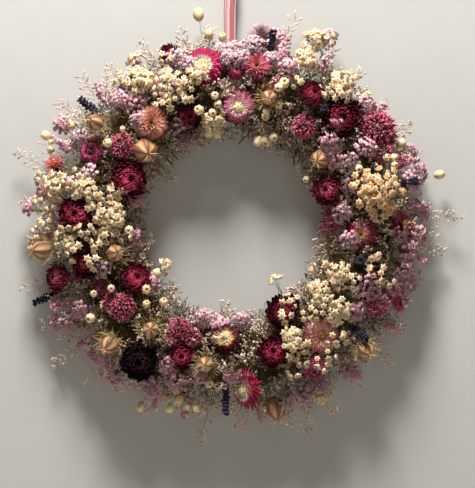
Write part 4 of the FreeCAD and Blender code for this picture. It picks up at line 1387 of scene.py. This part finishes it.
for step in range(EYE_STEPS + 1):
    angle = -pi / 2 + 0.16 + (2 * pi - 0.32) * step / EYE_STEPS
    eye_line.append(Vector((cos(angle), 0, sin(angle))) * (eye_radius - 0.3 * MM))
eye_line.append(Vector((-0.5 * MM, 0, eye_foot)))
count = len(eye_line)
eye_mesh = strip("ribbon_eye", eye_line, [Vector((0, 1, 0))] * count, [EYE_WIDTH] * count, 0.45 * MM)
eye_piece = finish_piece("ribbon_eye", [eye_mesh], "hanging_eye")
print("eye", round(length_of(eye_line) / MM), "mm long")

# %% [markdown]
# ## Wires
# The frame is steel wire dipped in green-black lacquer, and the binding is thin annealed reel wire. Both keep
# their CAD shape. Lacquer pools unevenly on wire, so its shine is broken up, and annealed wire is grey-brown
# and dull.

# %% Finish the wires
def wire_finish(name, stops, metallic, roughness, grain):
    """Wire: colour and gloss broken up by noise over a grain in millimetres."""
    material, tree = new_material(name)
    noise = mottle(tree, 1 / (grain * MM), 4.0)
    gloss = mapped(tree, noise, 0.0, 1.0, roughness - 0.12, roughness + 0.12)
    show(tree, ramp(tree, noise, stops), gloss, noise, 0.3, 0.1, Metallic=metallic)
    return material


# Steel wire dipped in green-black lacquer: glossy where it pooled.
lacquered_wire = wire_finish("green_lacquered_steel_wire", "30:18291C 70:273C2D", 0.0, 0.4, 3.0)
# Reel wire annealed soft in a furnace, which leaves a grey-brown skin.
annealed_wire = wire_finish("annealed_reel_wire", "30:4F4940 70:71695E", 1.0, 0.5, 1.5)
for name in ("frame_outer_ring", "frame_inner_ring", "frame_crimped_wire", "binding_wire"):
    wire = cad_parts[name]
    wire.data.materials.clear()
    wire.data.materials.append(annealed_wire if name == "binding_wire" else lacquered_wire)
print("wires finished")

# %% [markdown]
# ## The wall, the floor and the light
# The wreath hangs on a pale painted door, in daylight that falls steeply from above. The wall is seen only
# from its front, so it never hides the back of the wreath. Its own material mixes in a transparent one for
# that. The floor lies well below.

# %% Build the stage
def plain_sheet(name, corners, material):
    mesh = bpy.data.meshes.new(name)
    mesh.from_pydata(corners, [], [(0, 1, 2, 3)])
    mesh.materials.append(material)
    sheet = bpy.data.objects.new(name, mesh)
    bpy.context.scene.collection.objects.link(sheet)
    return sheet


def painted(name, stops, one_sided):
    """Matt emulsion paint, with a faint unevenness a hand wide."""
    material, tree = new_material(name)
    behind = add(tree, "ShaderNodeNewGeometry").outputs["Backfacing"] if one_sided else None
    show(tree, ramp(tree, mottle(tree, 6.0, 3.0), stops), 0.85, clear=behind, Specular_IOR_Level=0.2)
    return material


WALL_DEPTH, WALL_TOP, HALF_WALL, HALF_FLOOR, FLOOR_HEIGHT = 0.014, 2.0, 3.0, 6, -1.3
wall_paint = painted("matt_wall_paint", "30:CBCAC7 70:D0CFCC", True)
floor_paint = painted("pale_floor_paint", "30:D8D5CE 70:DEDBD4", False)
rim = ((-1, 0), (1, 0), (1, 1), (-1, 1))
wall_corners = [(x * HALF_WALL, WALL_DEPTH, WALL_TOP if up else FLOOR_HEIGHT) for x, up in rim]
wall = plain_sheet("wall", wall_corners, wall_paint)
wall.visible_diffuse = wall.visible_glossy = wall.visible_shadow = False
floor_corners = [(x * HALF_FLOOR, HALF_FLOOR if far else -HALF_FLOOR, FLOOR_HEIGHT) for x, far in rim]
plain_sheet("floor", floor_corners, floor_paint)

world = bpy.data.worlds.new("room")
bpy.context.scene.world = world
world.use_nodes = True
tree = world.node_tree
tree.nodes.clear()
looking = {0: add(tree, "ShaderNodeTexCoord").outputs["Generated"], 1: (0.0, 0.6, 0.8)}
upward = add(tree, "ShaderNodeVectorMath", looking, operation="DOT_PRODUCT").outputs["Value"]
brightness = mapped(tree, upward, -0.1, 1.0, 0.02, 0.5)
sky = put(tree, "ShaderNodeBackground", {"Color": linear("#F4F2EE"), "Strength": brightness})
backdrop = put(tree, "ShaderNodeBackground", {"Color": linear("#DAD8D3"), "Strength": 1.0})
by_camera = add(tree, "ShaderNodeLightPath").outputs["Is Camera Ray"]
either = put(tree, "ShaderNodeMixShader", {0: by_camera, 1: sky, 2: backdrop})
add(tree, "ShaderNodeOutputWorld", {0: either})


def area_light(name, place, across, watts, colour):
    """A round lamp that shines at the middle of the wreath."""
    light = bpy.data.lights.new(name, "AREA")
    light.shape, light.size, light.energy, light.color = "DISK", across, watts, linear(colour)[:3]
    lamp = bpy.data.objects.new(name, light)
    bpy.context.scene.collection.objects.link(lamp)
    lamp.location = place
    lamp.rotation_euler = (ring_middle - Vector(place)).to_track_quat("-Z", "Y").to_euler()


area_light("daylight_from_above", (-0.14, -0.74, 1.26), 0.5, 51, "#FFFDF8")
area_light("room_in_front", (0.6, -2.4, 0.4), 1.6, 3, "#FFFCF6")
print("lamps and stage ready")
